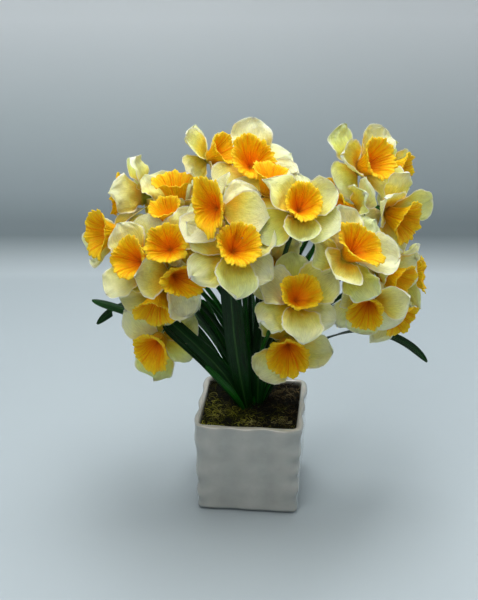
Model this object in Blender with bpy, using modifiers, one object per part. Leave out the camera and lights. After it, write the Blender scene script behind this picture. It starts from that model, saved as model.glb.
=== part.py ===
"""Silk daffodils in a square glazed pot: 28 blooms on one bush of stems and leaves, set in foam under moss.

Metres, +Z up. The origin is the middle of the pot's underside, and the pot's front faces -Y.
"""

import math
import random
from collections import namedtuple

import bmesh
import bpy
from mathutils import Matrix, Vector
from mathutils.bvhtree import BVHTree

# The pot: a square that widens upwards, with softly quilted sides
POT_TOP = 0.102
POT_FOOT = 0.095
POT_HEIGHT = 0.097
POT_CORNER = 0.009
INNER_CORNER = 0.004
WALL = 0.0065
FLOOR = 0.008
FOOT_BEVEL = 0.003
RIM_DEPTH = 0.005
RIM_SHOULDER = 0.0016
RIM_ROUND = 0.0007
INNER_BEVEL = 0.004
RELIEF = 0.0011
WAVES_ACROSS = 1.5
WAVES_UP = 2.0
SIDE_CELLS = 6
CORNER_CELLS = 2
RING = 4 * (SIDE_CELLS + CORNER_CELLS)
POT_LEVELS = 9

# The gap that pieces keep where they rest on each other
GAP = 0.0003

# The filling: a foam block with a layer of moss on it
FOAM_BOTTOM = 0.0125
FOAM_TOP = 0.071
MOSS_EDGE = 0.0890
MOSS_RISE = 0.0030
MOSS_LUMP = 0.0016
MOSS_CELLS = 4

# The bush: stems and leaves moulded onto one foot, which is pushed into the foam
TRUNK_AT = Vector((0.000, 0.006, 0))
TRUNK_RADIUS = 0.0135
TRUNK_FOOT = 0.030
TRUNK_TOP = 0.0960
START_DEPTH = 0.0045
TRUNK_SIDES = 16
STEM_RADIUS = 0.0024
NECK_RADIUS = 0.0033
NECK_LENGTH = 0.026
POD_LENGTH = 0.006
STEM_STATIONS = (0, 0.27, 0.53, 0.78, 1.0)
STEM_BOWS = (0, 0.010, 0.020, 0.030, 0.042, 0.056)
NECKS = (NECK_LENGTH, NECK_LENGTH * 0.6, NECK_LENGTH * 1.6)
BOW_SIDES = 12
STEM_RISE = 0.55
STEM_SPREAD = 0.6
SLOPE_BASE = 0.03
LEAF_THICK = 0.0010
LEAF_ROWS = 5
LEAF_FOLD = 0.28
LEAF_TIP = 0.45
LEAF_START = 0.6
EDGE_ON = 0.85

# One bloom of size 1: six petals in two layers round a short hub, and a pleated cup in front of them
TEPALS = 6
TEPAL_LENGTH = 0.0390
TEPAL_WIDTH = 0.0370
TEPAL_WIDEST = 0.56
TEPAL_ROOT = 0.19
TIP_FULLNESS = 2.3
TIP_ROUNDNESS = 0.6
TEPAL_THICK = 0.0008
TEPAL_STATIONS = (0.0, 0.40, 0.78, 1.0)
TEPAL_ORDER = (1, 3, 5, 0, 2, 4)
MOST_LEAN = math.radians(58)
LEAST_LEAN = math.radians(-66)
DRAWN_LEAN = (4, 20)
INNER_LEAN = 10
AROUND_SPREAD = 4
REACH_SPREAD = 0.04
CURL_RANGE = (-30, 14)
INNER_CUP = 0.12
CUP_SPREAD = 0.16
TWIST_SPREAD = 0.22
TURN_COST = 1.2
CURL_COST = 0.4
REACH_COST = 160
ROOT_RADIUS = 0.0043
OUTER_ROOT = -0.0046
INNER_ROOT = -0.0018
HUB_TOP = 0.0004
HUB_LENGTH = 0.0085
HUB_FOOT = 0.0036
HUB_RIM = 0.0084
HUB_SIDES = 6
CUP_SEAT = HUB_TOP + GAP
CUP_FOOT = 0.0066
CUP_LIP = 0.0170
CUP_DEPTH = 0.0265
CUP_THICK = 0.0008
CUP_SIDES = 8
CUP_ROWS = 3
CUP_FLARE = 0.45
CUP_DROOP = 0.10
FRILL = 0.0012

# The view of the reference picture, 478 x 600 pixels: its middle, its lens, and the front of the pot's rim in it
PHOTO_MIDDLE = (239, 300)
FOCAL_PIXELS = 1467
CAMERA_DOWN = math.radians(26.0)
CAMERA_ROUND = math.radians(5.5)
RIM_SEEN = (247, 428)
RIM_DISTANCE = 1.395

AHEAD = Vector((math.sin(CAMERA_ROUND), -math.cos(CAMERA_ROUND), 0))
RIGHT = Vector((math.cos(CAMERA_ROUND), math.sin(CAMERA_ROUND), 0))
TO_VIEWER = AHEAD * math.cos(CAMERA_DOWN) + Vector((0, 0, math.sin(CAMERA_DOWN)))
UPWARD = TO_VIEWER.cross(RIGHT)

SEED = 7

# A bloom's heart is where its petals meet its cup. seen is the heart's pixel in the picture and ahead is how far, in
# millimetres, it lies in front of the pot's middle. turn and nod are the degrees that it faces to the viewer's right
# and upwards, and roll turns its petals clockwise. oval stretches its cup's mouth up and down. leans, where given,
# are the degrees that its six petals lean forward, clockwise from roll; the others are drawn at random. slant turns the
# long way of its mouth clockwise.
Bloom = namedtuple("Bloom", "name seen ahead turn nod roll size oval leans slant", defaults=(1.0, 1.0, None, 0))
BLOOMS = [
    Bloom("middle", (232, 252), 98, 14, 17, 2, 1.08, 1.0, (15, 15, 10, 12, 32, 52), 10),
    Bloom("right_of_middle", (298, 212), 82, 10, 24, 5, 1.0, 1.1, (14, 42, 20, 20, -20, 38)),
    Bloom("right_inner", (349, 255), 84, 24, 20, 40, 1.08, 1.24, (30, 12, 10, 22, 18, 42), -43),
    Bloom("low_middle", (295, 301), 88, 14, 16, 0, 1.04, 1.0, (18, 20, 34, 40, 36, 46)),
    Bloom("low_front", (288, 344), 24, 0, -28, 40, 1.12, 1.0, (-45, 6, -62, 8, -20, 20)),
    Bloom("left_of_middle", (217, 209), 86, -16, 2, 35, 1.06, 1.42, (4, -50, 40, 30, 50, -60), -8),
    Bloom("left_inner", (171, 250), 66, -8, 12, -20, 1.04, 0.92, (12, 62, 0, 10, -30, -50)),
    Bloom("low_left_inner", (173, 275), 68, 30, -15, -25, 1.04, 0.8, (30, 30, 20, 2, -50, -40)),
    Bloom("left", (142, 262), 50, -28, 6, 25, 1.04, 1.05, (20, 56, 10, 12, -10, 20)),
    Bloom("far_left", (117, 233), 12, -48, -2, 45, 1.04, 1.2, (-60, -30, -10, 20, 55, -60)),
    Bloom("low_left", (160, 292), 50, -20, -56, 10, 1.0, 1.0),
    Bloom("lowest_left", (160, 339), 20, -20, -34, 15, 1.04, 1.15, (-30, -50, -20, 10, 0, -20)),
    Bloom("upper_left", (143, 197), -22, -100, 6, 30, 1.06, 1.0, (30, 57, 40, 30, 30, 20)),
    Bloom("top_left", (177, 204), 4, -10, 60, 0, 1.06, 1.0, (40, 50, 50, 54, 50, 40)),
    Bloom("left_behind", (170, 222), 34, -16, 46, 30, 0.85),
    Bloom("crown_left", (210, 158), -6, 50, 22, 0, 0.86, 1.0, (0, 10, 20, 10, 0, 0)),
    Bloom("crown", (250, 168), 6, 8, 20, 60, 1.10, 1.0, (0, 52, 10, 24, -10, 4)),
    Bloom("crown_right", (268, 193), 50, 8, 60, 0, 0.95, 1.0, (45, 40, 55, 55, 55, 45)),
    Bloom("centre_behind", (270, 262), 26, -40, -10, 0, 0.9, 1.0),
    Bloom("right_behind", (322, 204), 0, 4, 88, 30, 0.90, 1.0, (62, 62, 62, 62, 62, 62)),
    Bloom("right_upper", (352, 212), 26, -55, 5, 10, 0.92, 1.0, (5, 50, 40, 30, 10, -10)),
    Bloom("far_upper_right", (362, 168), -16, 40, 14, -20, 1.12, 1.0, (5, 10, 0, 20, 20, 54)),
    Bloom("far_upper_back", (384, 170), -60, 70, -6, 20, 0.98, 0.95, (50, 55, 50, 50, 50, 50)),
    Bloom("right_drooping", (388, 214), 14, 50, -24, 0, 1.06, 1.1, (14, 40, 48, 30, 28, 10)),
    Bloom("right_side", (382, 272), 34, 60, -26, 0, 1.06, 1.0, (30, 40, 20, 30, 30, 20)),
    Bloom("far_right", (399, 276), -16, 78, 4, 25, 0.98, 1.0, (40, 45, 50, 60, 60, 40)),
    Bloom("low_right", (369, 300), 58, -14, -34, 20, 0.92, 0.95, (10, -50, -50, 10, 10, 20)),
    Bloom("low_far_right", (388, 304), 4, 48, -42, 18, 0.98, 1.0),
]

# A leaf runs from the bush's foot through two points to its tip, each a pixel and how far ahead it lies in
# millimetres. width is in millimetres, and face is the degrees that its flat side turns away from the viewer.
Leaf = namedtuple("Leaf", "name first second tip width face")
LEAVES = [
    Leaf("long_left", ((222, 352), 8), ((158, 316), 0), ((92, 300), -4), 11, 40),
    Leaf("cross_left", ((206, 318), -34), ((150, 268), -40), ((97, 324), -22), 9, 10),
    Leaf("broad_left", ((232, 372), 16), ((200, 350), 24), ((166, 318), 20), 15, 20),
    Leaf("edge_left", ((228, 384), 30), ((196, 356), 34), ((163, 326), 34), 7, 60),
    Leaf("middle", ((238, 372), 24), ((232, 330), 38), ((230, 276), 40), 19, 0),
    Leaf("middle_right", ((256, 368), 10), ((262, 330), 12), ((272, 286), 10), 16, 0),
    Leaf("short_left", ((232, 360), -6), ((218, 330), -12), ((200, 300), -16), 11, 10),
    Leaf("behind_right", ((268, 350), -20), ((300, 290), -26), ((330, 250), -24), 16, 20),
    Leaf("long_right", ((286, 340), -22), ((372, 300), -28), ((427, 362), -10), 10, 40),
    Leaf("low_right", ((262, 372), 0), ((292, 336), 4), ((336, 318), 6), 8, 50),
    Leaf("short_front", ((236, 392), 34), ((222, 382), 40), ((206, 366), 44), 6, 40),
    Leaf("back_left", ((236, 362), -40), ((214, 320), -62), ((176, 300), -84), 12, 0),
    Leaf("back_right", ((262, 362), -40), ((292, 320), -66), ((330, 306), -92), 12, 0),
    Leaf("back_middle", ((250, 360), -46), ((252, 312), -76), ((246, 282), -100), 13, 0),
]

TINTS = {
    "glazed_ceramic": ((0.66, 0.66, 0.63), 0.18),
    "foam": ((0.10, 0.19, 0.10), 0.95),
    "moss": ((0.07, 0.08, 0.02), 0.95),
    "green_plastic": ((0.03, 0.11, 0.04), 0.5),
    "cream_silk": ((0.80, 0.80, 0.42), 0.7),
    "orange_silk": ((0.90, 0.38, 0.02), 0.65),
}


def seen_at(pixel, ahead_mm):
    """The point that the picture shows at a pixel, that many millimetres in front of the pot's middle."""
    def ray(at):
        across = (at[0] - PHOTO_MIDDLE[0]) / FOCAL_PIXELS
        down = (at[1] - PHOTO_MIDDLE[1]) / FOCAL_PIXELS
        return RIGHT * across - UPWARD * down - TO_VIEWER
    rim = Vector((0, -POT_TOP / 2, POT_HEIGHT))
    camera = rim - ray(RIM_SEEN) * RIM_DISTANCE
    towards = ray(pixel)
    far = (ahead_mm / 1000 - camera.dot(AHEAD)) / towards.dot(AHEAD)
    return camera + towards * far


def clear_scene():
    for obj in list(bpy.data.objects):
        bpy.data.objects.remove(obj)


def material(name):
    made = bpy.data.materials.get(name)
    if made is None:
        made = bpy.data.materials.new(name)
        made.use_nodes = True
        colour, roughness = TINTS[name]
        shader = made.node_tree.nodes["Principled BSDF"]
        shader.inputs["Base Color"].default_value = (*colour, 1)
        shader.inputs["Roughness"].default_value = roughness
    return made


def add_object(name, mesh, slot, collection):
    obj = bpy.data.objects.new(name, mesh)
    mesh.name = name
    mesh.materials.clear()
    mesh.materials.append(material(slot))
    collection.objects.link(obj)
    return obj


def face_outwards(mesh):
    form = bmesh.new()
    form.from_mesh(mesh)
    bmesh.ops.recalc_face_normals(form, faces=form.faces)
    form.to_mesh(mesh)
    form.free()


def grid_mesh(name, columns, rows, place):
    """A grid with its point (i, j) where place puts it, in triangles. Points that meet are merged."""
    form = bmesh.new()
    bmesh.ops.create_grid(form, x_segments=columns, y_segments=rows, size=0.5)
    for vert in form.verts:
        vert.co = place(round((vert.co.x + 0.5) * columns), round((vert.co.y + 0.5) * rows))
    bmesh.ops.remove_doubles(form, verts=form.verts, dist=1e-5)
    bmesh.ops.triangulate(form, faces=form.faces, quad_method="SHORT_EDGE")
    mesh = bpy.data.meshes.new(name)
    form.to_mesh(mesh)
    form.free()
    return mesh


def evaluated_mesh(obj):
    """A new mesh with the object's modifiers applied, in its own frame."""
    graph = bpy.context.evaluated_depsgraph_get()
    return bpy.data.meshes.new_from_object(obj.evaluated_get(graph))


def thickened(mesh, thick):
    """The open sheet as a closed solid of that thickness, half on each side."""
    obj = bpy.data.objects.new("sheet", mesh)
    bpy.context.scene.collection.objects.link(obj)
    solidify = obj.modifiers.new("Solidify", "SOLIDIFY")
    solidify.thickness = thick
    solidify.offset = 0
    solidify.use_even_offset = True
    solid = evaluated_mesh(obj)
    bpy.data.objects.remove(obj)
    face_outwards(solid)
    return solid


def shells(form):
    """The faces of each connected shell."""
    left = set(form.faces)
    while left:
        shell = {left.pop()}
        front = list(shell)
        while front:
            face = front.pop()
            for edge in face.edges:
                near = [other for other in edge.link_faces if other in left]
                left.difference_update(near)
                shell.update(near)
                front.extend(near)
        yield shell


def fill_hollows(mesh):
    """Fills what the union sealed in, and drops loose scraps: only the shell with the most faces stays."""
    form = bmesh.new()
    form.from_mesh(mesh)
    found = sorted(shells(form), key=len)
    for shell in found[:-1]:
        bmesh.ops.delete(form, geom=list(shell), context="FACES")
    form.to_mesh(mesh)
    form.free()


def joined(name, meshes, slot, collection):
    """One solid from several that overlap, by a Boolean union."""
    helpers = bpy.data.collections.new("helpers")
    bpy.context.scene.collection.children.link(helpers)
    for index, mesh in enumerate(meshes[1:]):
        helpers.objects.link(bpy.data.objects.new(f"{name}_{index}", mesh))
    first = bpy.data.objects.new(name + "_first", meshes[0])
    bpy.context.scene.collection.objects.link(first)
    union = first.modifiers.new("Union", "BOOLEAN")
    union.operation = "UNION"
    union.operand_type = "COLLECTION"
    union.collection = helpers
    union.solver = "MANIFOLD"
    result = evaluated_mesh(first)
    for obj in list(helpers.objects):
        bpy.data.objects.remove(obj)
    bpy.data.collections.remove(helpers)
    bpy.data.objects.remove(first)
    fill_hollows(result)
    return add_object(name, result, slot, collection)


def loft_tree(rings):
    """A tree to test against other solids, of a solid given by closed rings of points along its length."""
    count = len(rings[0])
    points = [point for ring in rings for point in ring]
    faces = [tuple(range(count)), tuple(range(len(points) - count, len(points)))]
    for row in range(len(rings) - 1):
        for step in range(count):
            low, high = row * count + step, row * count + (step + 1) % count
            faces.append((low, high, high + count, low + count))
    return points, BVHTree.FromPolygons(points, faces)


class Surroundings:
    """The solids placed so far, to ask whether a new one is clear of them."""

    def __init__(self):
        self.placed = {}

    def add(self, name, mesh):
        points = [vert.co.copy() for vert in mesh.vertices]
        tree = BVHTree.FromPolygons(points, [tuple(face.vertices) for face in mesh.polygons])
        self.placed[name] = (self.box(points), tree)

    @staticmethod
    def box(points):
        low = [min(point[axis] for point in points) for axis in range(3)]
        high = [max(point[axis] for point in points) for axis in range(3)]
        return low, high

    def touched_by(self, rings, besides=None):
        """How many faces the lofted rings would cross, leaving one placed solid out."""
        points, tree = loft_tree(rings)
        low, high = self.box(points)
        count = 0
        for name, ((other_low, other_high), other) in self.placed.items():
            apart = any(low[axis] > other_high[axis] or high[axis] < other_low[axis] for axis in range(3))
            if name != besides and not apart:
                count += len(tree.overlap(other))
        return count


def square_point(step, half, corner):
    """Point number step round a square with round corners."""
    side, cell = divmod(step % RING, SIDE_CELLS + CORNER_CELLS)
    flat = half - corner
    if cell < CORNER_CELLS:
        angle = math.pi / 2 * (cell / CORNER_CELLS - 1)
        point = Vector((flat + corner * math.cos(angle), corner * math.sin(angle) - flat, 0))
    else:
        point = Vector((half, flat * (2 * (cell - CORNER_CELLS) / SIDE_CELLS - 1), 0))
    return Matrix.Rotation(math.pi / 2 * side, 3, "Z") @ point


def pot_half(height):
    """Half the pot's width at a height."""
    return (POT_FOOT + (POT_TOP - POT_FOOT) * height / POT_HEIGHT) / 2


def pot_profile():
    """The pot's section from the middle of its underside round the rim to the middle of its floor.

    Each row is the inset from the outer face, the height, and how much of the quilting shows there.
    """
    rows = [(None, 0, 0), (FOOT_BEVEL, 0, 0), (0, FOOT_BEVEL, 0.5)]
    high = POT_HEIGHT - RIM_DEPTH
    for level in range(1, POT_LEVELS):
        rows.append((0, FOOT_BEVEL + (high - FOOT_BEVEL) * level / (POT_LEVELS - 1), 1))
    shoulder = POT_HEIGHT - RIM_SHOULDER
    rows += [(RIM_ROUND, shoulder, 0.5), (WALL / 2, POT_HEIGHT, 0), (WALL - RIM_ROUND, shoulder, 0)]
    rows += [(WALL, high, 0), (WALL, FLOOR + INNER_BEVEL, 0), (WALL + INNER_BEVEL, FLOOR, 0), (None, FLOOR, 0)]
    return rows


def quilting(point, half, height):
    """How far the relief stands out at a point of the outer face."""
    along = point.y if abs(point.x) > abs(point.y) else point.x
    across_wave = math.cos(2 * math.pi * WAVES_ACROSS * along / half)
    rising_wave = math.cos(2 * math.pi * WAVES_UP * (2 * height / POT_HEIGHT - 1))
    return RELIEF / 2 * (across_wave + rising_wave)


def build_pot(collection):
    profile = pot_profile()

    def place(step, row):
        inset, height, relief = profile[row]
        if inset is None:
            return Vector((0, 0, height))
        half = pot_half(height) - inset
        point = square_point(step, half, max(POT_CORNER - inset, INNER_CORNER))
        out = relief * quilting(point, half, height)
        return point * (1 + out / half) + Vector((0, 0, height))

    pot = add_object("pot", grid_mesh("pot", RING, len(profile) - 1, place), "glazed_ceramic", collection)
    face_outwards(pot.data)


def fill_point(step, share, height):
    """A point of the filling at a height. Share 0 is the wall of the bush's hole, and 1 is close to the pot's wall."""
    outer = square_point(step, pot_half(height) - WALL - GAP, INNER_CORNER)
    inner = TRUNK_AT + outer.normalized() * (TRUNK_RADIUS + GAP)
    return inner.lerp(outer, share) + Vector((0, 0, height))


def build_foam(collection):
    """The foam block, with a blind hole for the bush's foot."""
    hole = TRUNK_FOOT - GAP
    profile = [(None, hole), (0, hole), (0, FOAM_TOP), (1, FOAM_TOP), (1, FOAM_BOTTOM), (None, FOAM_BOTTOM)]

    def place(step, row):
        share, height = profile[row]
        return TRUNK_AT + Vector((0, 0, height)) if share is None else fill_point(step, share, height)

    foam = add_object("foam", grid_mesh("foam", RING, len(profile) - 1, place), "foam", collection)
    face_outwards(foam.data)


def build_moss(collection):
    """The moss: a lumpy layer that rises from the pot's wall to the stems."""
    rng = random.Random(SEED)
    lumps = [[rng.uniform(-1, 1) for _ in range(RING)] for _ in range(MOSS_CELLS + 1)]
    bottom = FOAM_TOP + GAP
    top = [(cell / MOSS_CELLS, None) for cell in range(MOSS_CELLS + 1)]
    profile = [(0, bottom), *top, (1, bottom), (0, bottom)]

    def place(step, row):
        share, height = profile[row]
        point = fill_point(step, share, MOSS_EDGE if height is None else height)
        if height is None:
            point.z = MOSS_EDGE + MOSS_RISE * (1 - share) + MOSS_LUMP * lumps[row - 1][step % RING]
        return point

    moss = add_object("moss", grid_mesh("moss", RING, len(profile) - 1, place), "moss", collection)
    face_outwards(moss.data)


def bloom_frame(bloom):
    """The matrix of a bloom's own frame: its heart at the origin, +Z out of its cup and +X up in the picture."""
    turn, nod = math.radians(bloom.turn), math.radians(bloom.nod)
    level = RIGHT * math.sin(turn) + TO_VIEWER * math.cos(turn)
    facing = level * math.cos(nod) + UPWARD * math.sin(nod)
    upright = UPWARD * math.cos(nod) - level * math.sin(nod)
    turned = Matrix((upright, facing.cross(upright), facing)).transposed().to_4x4()
    return Matrix.Translation(seen_at(bloom.seen, bloom.ahead)) @ turned @ Matrix.Scale(bloom.size, 4)


# How one petal stands: its angle round the bloom, how far it leans forward, how long it is as a share of a whole
# one, how much it bends forward along its length, how far its sides rise, and how far it twists.
Stance = namedtuple("Stance", "around lean reach curl cup twist")


def outline(u):
    """A petal's half width along its length, as a share of its widest: narrow at the root, round at the tip."""
    if u < TEPAL_WIDEST:
        return TEPAL_ROOT + (1 - TEPAL_ROOT) * math.sin(math.pi / 2 * u / TEPAL_WIDEST)
    return max(0.0, 1 - ((u - TEPAL_WIDEST) / (1 - TEPAL_WIDEST)) ** TIP_FULLNESS) ** TIP_ROUNDNESS


def tepal_point(stance, root, u, v):
    """The point u of the way along a petal and v across it, from -1 to 1, in the bloom's frame."""
    length = TEPAL_LENGTH * stance.reach
    bend = stance.curl if abs(stance.curl) > 0.001 else 0.001
    start = stance.lean - bend / 2
    angle = start + bend * u
    out = ROOT_RADIUS + length / bend * (math.sin(angle) - math.sin(start))
    along = root - length / bend * (math.cos(angle) - math.cos(start))
    half = TEPAL_WIDTH / 2 * stance.reach * outline(u)
    lift = half * (stance.cup * v * v + stance.twist * u * v)
    local = Vector((out - math.sin(angle) * lift, v * half, along + math.cos(angle) * lift))
    return Matrix.Rotation(stance.around, 3, "Z") @ local


def tepal_root(index):
    """Outer petals, the even ones, start behind the inner ones."""
    return INNER_ROOT if index % 2 else OUTER_ROOT


def tepal_mesh(frame, stance, root, thick):
    """A petal as a closed blade, in the part's frame."""
    def place(step, row):
        return frame @ tepal_point(stance, root, TEPAL_STATIONS[row], step - 1)
    return thickened(grid_mesh("tepal", 2, len(TEPAL_STATIONS) - 1, place), thick)


def tepal_rings(frame, stance, root, half_thick):
    """A petal's blade as closed rings, for testing."""
    def at(u, v):
        return frame @ tepal_point(stance, root, u, v)

    step = 0.02
    rings = []
    for u in TEPAL_STATIONS:
        within = u * 0.9 + step
        tops, bottoms = [], []
        for v in (-1, 0, 1):
            point = at(u, v)
            side = at(within, v + step) - at(within, v)
            normal = (at(u + step, v) - point).cross(side).normalized() * half_thick
            tops.append(point + normal)
            bottoms.append(point - normal)
        rings.append(tops + bottoms[::-1])
    return rings


def preferred_stances(bloom, rng):
    """How the bloom's six petals would stand with nothing in their way."""
    stances = []
    for index in range(TEPALS):
        inner = index % 2
        drawn = rng.uniform(*DRAWN_LEAN) + INNER_LEAN * inner
        lean = bloom.leans[index] if bloom.leans else drawn
        around = -math.radians(bloom.roll + 360 / TEPALS * index + rng.uniform(-AROUND_SPREAD, AROUND_SPREAD))
        reach = rng.uniform(1 - REACH_SPREAD, 1 + REACH_SPREAD)
        curl = math.radians(rng.uniform(*CURL_RANGE))
        cup = INNER_CUP * inner + rng.uniform(0, CUP_SPREAD)
        twist = rng.uniform(-TWIST_SPREAD, TWIST_SPREAD)
        stances.append(Stance(around, math.radians(lean), reach, curl, cup, twist))
    return stances


def stance_changes():
    """Ways to bend a petal clear of what is near it, the least first: degrees to lean, turn and curl, and a reach."""
    changes = []
    for lean in range(-88, 57, 8):
        for around in range(-32, 33, 8):
            for curl in (-40, 0, 40):
                for reach in (1.0, 0.9, 0.8, 0.7, 0.6, 0.5, 0.4):
                    cost = abs(lean) + abs(around) * TURN_COST + abs(curl) * CURL_COST + (1 - reach) * REACH_COST
                    changes.append((cost, lean, around, curl, reach))
    return [change[1:] for change in sorted(changes)]


def changed(stance, change):
    lean, around, curl, reach = change
    return stance._replace(
        lean=stance.lean + math.radians(lean),
        around=stance.around + math.radians(around),
        curl=stance.curl + math.radians(curl),
        reach=stance.reach * reach,
    )


def clear_stance(bloom, frame, index, stance, changes, surroundings):
    """The petal's stance nearest to the wished one that is clear of everything placed so far."""
    root = tepal_root(index)
    half_thick = TEPAL_THICK * bloom.size / 2 + GAP
    best = None
    for change in changes:
        trial = changed(stance, change)
        if not LEAST_LEAN <= trial.lean <= MOST_LEAN:
            continue
        touched = surroundings.touched_by(tepal_rings(frame, trial, root, half_thick), "hub_" + bloom.name)
        if best is None or touched < best[0]:
            best = (touched, trial)
        if not touched:
            break
    return best[1]


def cup_point(bloom, step, row):
    """Point number step round a cup's wall; row 0 is the middle of its foot, and the last row is its frilled lip."""
    if row == 0:
        return Vector((0, 0, CUP_SEAT + CUP_THICK / 2))
    up = (row - 1) / (CUP_ROWS - 1)
    angle = 2 * math.pi * step / CUP_SIDES
    frill = FRILL * up * (1 if step % 2 else -1)
    radius = CUP_FOOT + (CUP_LIP - CUP_FOOT) * ((1 - CUP_FLARE) * up + CUP_FLARE * up ** 3) + frill / 2
    height = CUP_SEAT + CUP_THICK / 2 + CUP_DEPTH * up * (1 - CUP_DROOP * up * up) + frill
    stretch = 1 + (bloom.oval - 1) * up
    point = Vector((radius * math.cos(angle) * stretch, radius * math.sin(angle) / stretch, height))
    return Matrix.Rotation(-math.radians(bloom.slant), 3, "Z") @ point


def cup_mesh(bloom, frame):
    def place(step, row):
        return frame @ cup_point(bloom, step, row)
    return thickened(grid_mesh("cup", CUP_SIDES, CUP_ROWS, place), CUP_THICK)


def hub_mesh(frame):
    """The short funnel behind the petals, which they grow from."""
    form = bmesh.new()
    bmesh.ops.create_cone(
        form, cap_ends=True, segments=HUB_SIDES, radius1=HUB_FOOT, radius2=HUB_RIM, depth=HUB_LENGTH
    )
    bmesh.ops.translate(form, verts=form.verts, vec=(0, 0, HUB_TOP - HUB_LENGTH / 2))
    bmesh.ops.transform(form, matrix=frame, verts=form.verts)
    mesh = bpy.data.meshes.new("hub")
    form.to_mesh(mesh)
    form.free()
    return mesh


def bezier(points, t):
    """A point of the curve through the first and last points that the others pull on."""
    while len(points) > 1:
        points = [start.lerp(end, t) for start, end in zip(points, points[1:])]
    return points[0]


def stem_foot(heart):
    """Where a stem stands in the bush's foot: the lower and further out its bloom hangs, the nearer the edge."""
    out = Vector((heart.x, heart.y, 0)) - TRUNK_AT
    slope = out.length / (heart.z - TRUNK_TOP + SLOPE_BASE)
    reach = (TRUNK_RADIUS - STEM_RADIUS) * min(1, 0.2 + slope * STEM_SPREAD)
    return TRUNK_AT + out.normalized() * reach + Vector((0, 0, TRUNK_TOP - START_DEPTH))


def stem_line(bloom, bow, neck):
    """The points of a stem's middle line, from the bush's foot to the back of its bloom."""
    frame = bloom_frame(bloom)
    heart = frame.translation
    facing = (frame.to_3x3() @ Vector((0, 0, 1))).normalized()
    foot = stem_foot(heart)
    end = heart - facing * ((HUB_LENGTH - HUB_TOP) * bloom.size + GAP)
    rise = (heart.z - foot.z) * STEM_RISE
    first = foot + (Vector((foot.x, foot.y, 0)) - TRUNK_AT) * STEM_SPREAD + Vector((0, 0, rise)) + bow
    pod = end - facing * POD_LENGTH * bloom.size
    second = pod - facing * neck + bow * 0.5
    return [bezier([foot, first, second, pod], t) for t in STEM_STATIONS] + [end]


def stem_rings(points, radius):
    """A stem as closed rings of four points, for testing."""
    rings = []
    for index, point in enumerate(points[1:], 1):
        ahead = (points[min(index + 1, len(points) - 1)] - points[index - 1]).normalized()
        side = ahead.cross(AHEAD).normalized() * radius
        across = ahead.cross(side).normalized() * radius
        rings.append([point + side, point + across, point - side, point - across])
    return rings


def clear_stem(bloom, surroundings):
    """A stem's line, bowed sideways as far as it must to pass what is in its way."""
    best = None
    for size in STEM_BOWS:
        for step in range(BOW_SIDES if size else 1):
            for neck in NECKS:
                angle = step * 2 * math.pi / BOW_SIDES
                bow = Vector((math.cos(angle), math.sin(angle), 0)) * size
                points = stem_line(bloom, bow, neck)
                touched = surroundings.touched_by(stem_rings(points, NECK_RADIUS + GAP), "hub_" + bloom.name)
                if best is None or touched < best[0]:
                    best = (touched, points)
                if not touched:
                    return points
    return best[1]


def stem_mesh(points):
    """A stem as a tube that swells into the seed pod behind its bloom."""
    curve = bpy.data.curves.new("stem", "CURVE")
    curve.dimensions = "3D"
    curve.bevel_depth = STEM_RADIUS
    curve.bevel_resolution = 0
    curve.use_fill_caps = True
    spline = curve.splines.new("POLY")
    spline.points.add(len(points) - 1)
    for index, point in enumerate(points):
        spline.points[index].co = (*point, 1)
    spline.points[-2].radius = NECK_RADIUS / STEM_RADIUS
    obj = bpy.data.objects.new("stem", curve)
    bpy.context.scene.collection.objects.link(obj)
    mesh = evaluated_mesh(obj)
    bpy.data.objects.remove(obj)
    form = bmesh.new()
    form.from_mesh(mesh)
    bmesh.ops.remove_doubles(form, verts=form.verts, dist=1e-6)
    bmesh.ops.recalc_face_normals(form, faces=form.faces)
    form.to_mesh(mesh)
    form.free()
    return mesh


def leaf_mesh(leaf):
    """A strap leaf with a shallow fold along its middle and a round tip."""
    first, second, tip = (seen_at(*point) for point in (leaf.first, leaf.second, leaf.tip))
    out = (Vector((tip.x, tip.y, 0)) - TRUNK_AT).normalized()
    foot = TRUNK_AT + out * TRUNK_RADIUS * LEAF_START + Vector((0, 0, TRUNK_TOP - START_DEPTH))
    control = [foot, first, second, tip]
    flat = Matrix.Rotation(math.radians(leaf.face), 3, "Z") @ RIGHT

    def place(step, row):
        v = row / LEAF_ROWS
        v += 0.35 * v * (1 - v) ** 2
        at = bezier(control, v)
        near = 0.02
        ahead = (bezier(control, min(1, v + near)) - bezier(control, max(0, v - near))).normalized()
        side = flat if abs(ahead.dot(flat)) < EDGE_ON else AHEAD
        side = (side - ahead * side.dot(ahead)).normalized()
        half = leaf.width / 2000 * (1 + math.sin(math.pi * min(0.5, v))) / 2
        if row == LEAF_ROWS:
            half *= LEAF_TIP
        across = step - 1
        return at + side * across * half + ahead.cross(side) * abs(across) * half * LEAF_FOLD

    return thickened(grid_mesh("leaf", 2, LEAF_ROWS, place), LEAF_THICK)


def foot_mesh():
    """The bush's foot."""
    form = bmesh.new()
    height = TRUNK_TOP - TRUNK_FOOT
    bmesh.ops.create_cone(
        form, cap_ends=True, segments=TRUNK_SIDES, radius1=TRUNK_RADIUS, radius2=TRUNK_RADIUS * 0.8, depth=height
    )
    bmesh.ops.translate(form, verts=form.verts, vec=TRUNK_AT + Vector((0, 0, TRUNK_FOOT + height / 2)))
    mesh = bpy.data.meshes.new("foot")
    form.to_mesh(mesh)
    form.free()
    return mesh


def build_bush(collection, surroundings):
    """Every stem and leaf, grown together at the bush's foot."""
    meshes = [foot_mesh()]
    for bloom in BLOOMS:
        meshes.append(stem_mesh(clear_stem(bloom, surroundings)))
        surroundings.add("stem_" + bloom.name, meshes[-1])
    for leaf in LEAVES:
        meshes.append(leaf_mesh(leaf))
        surroundings.add("leaf_" + leaf.name, meshes[-1])
    joined("stems_and_leaves", meshes, "green_plastic", collection)


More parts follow.
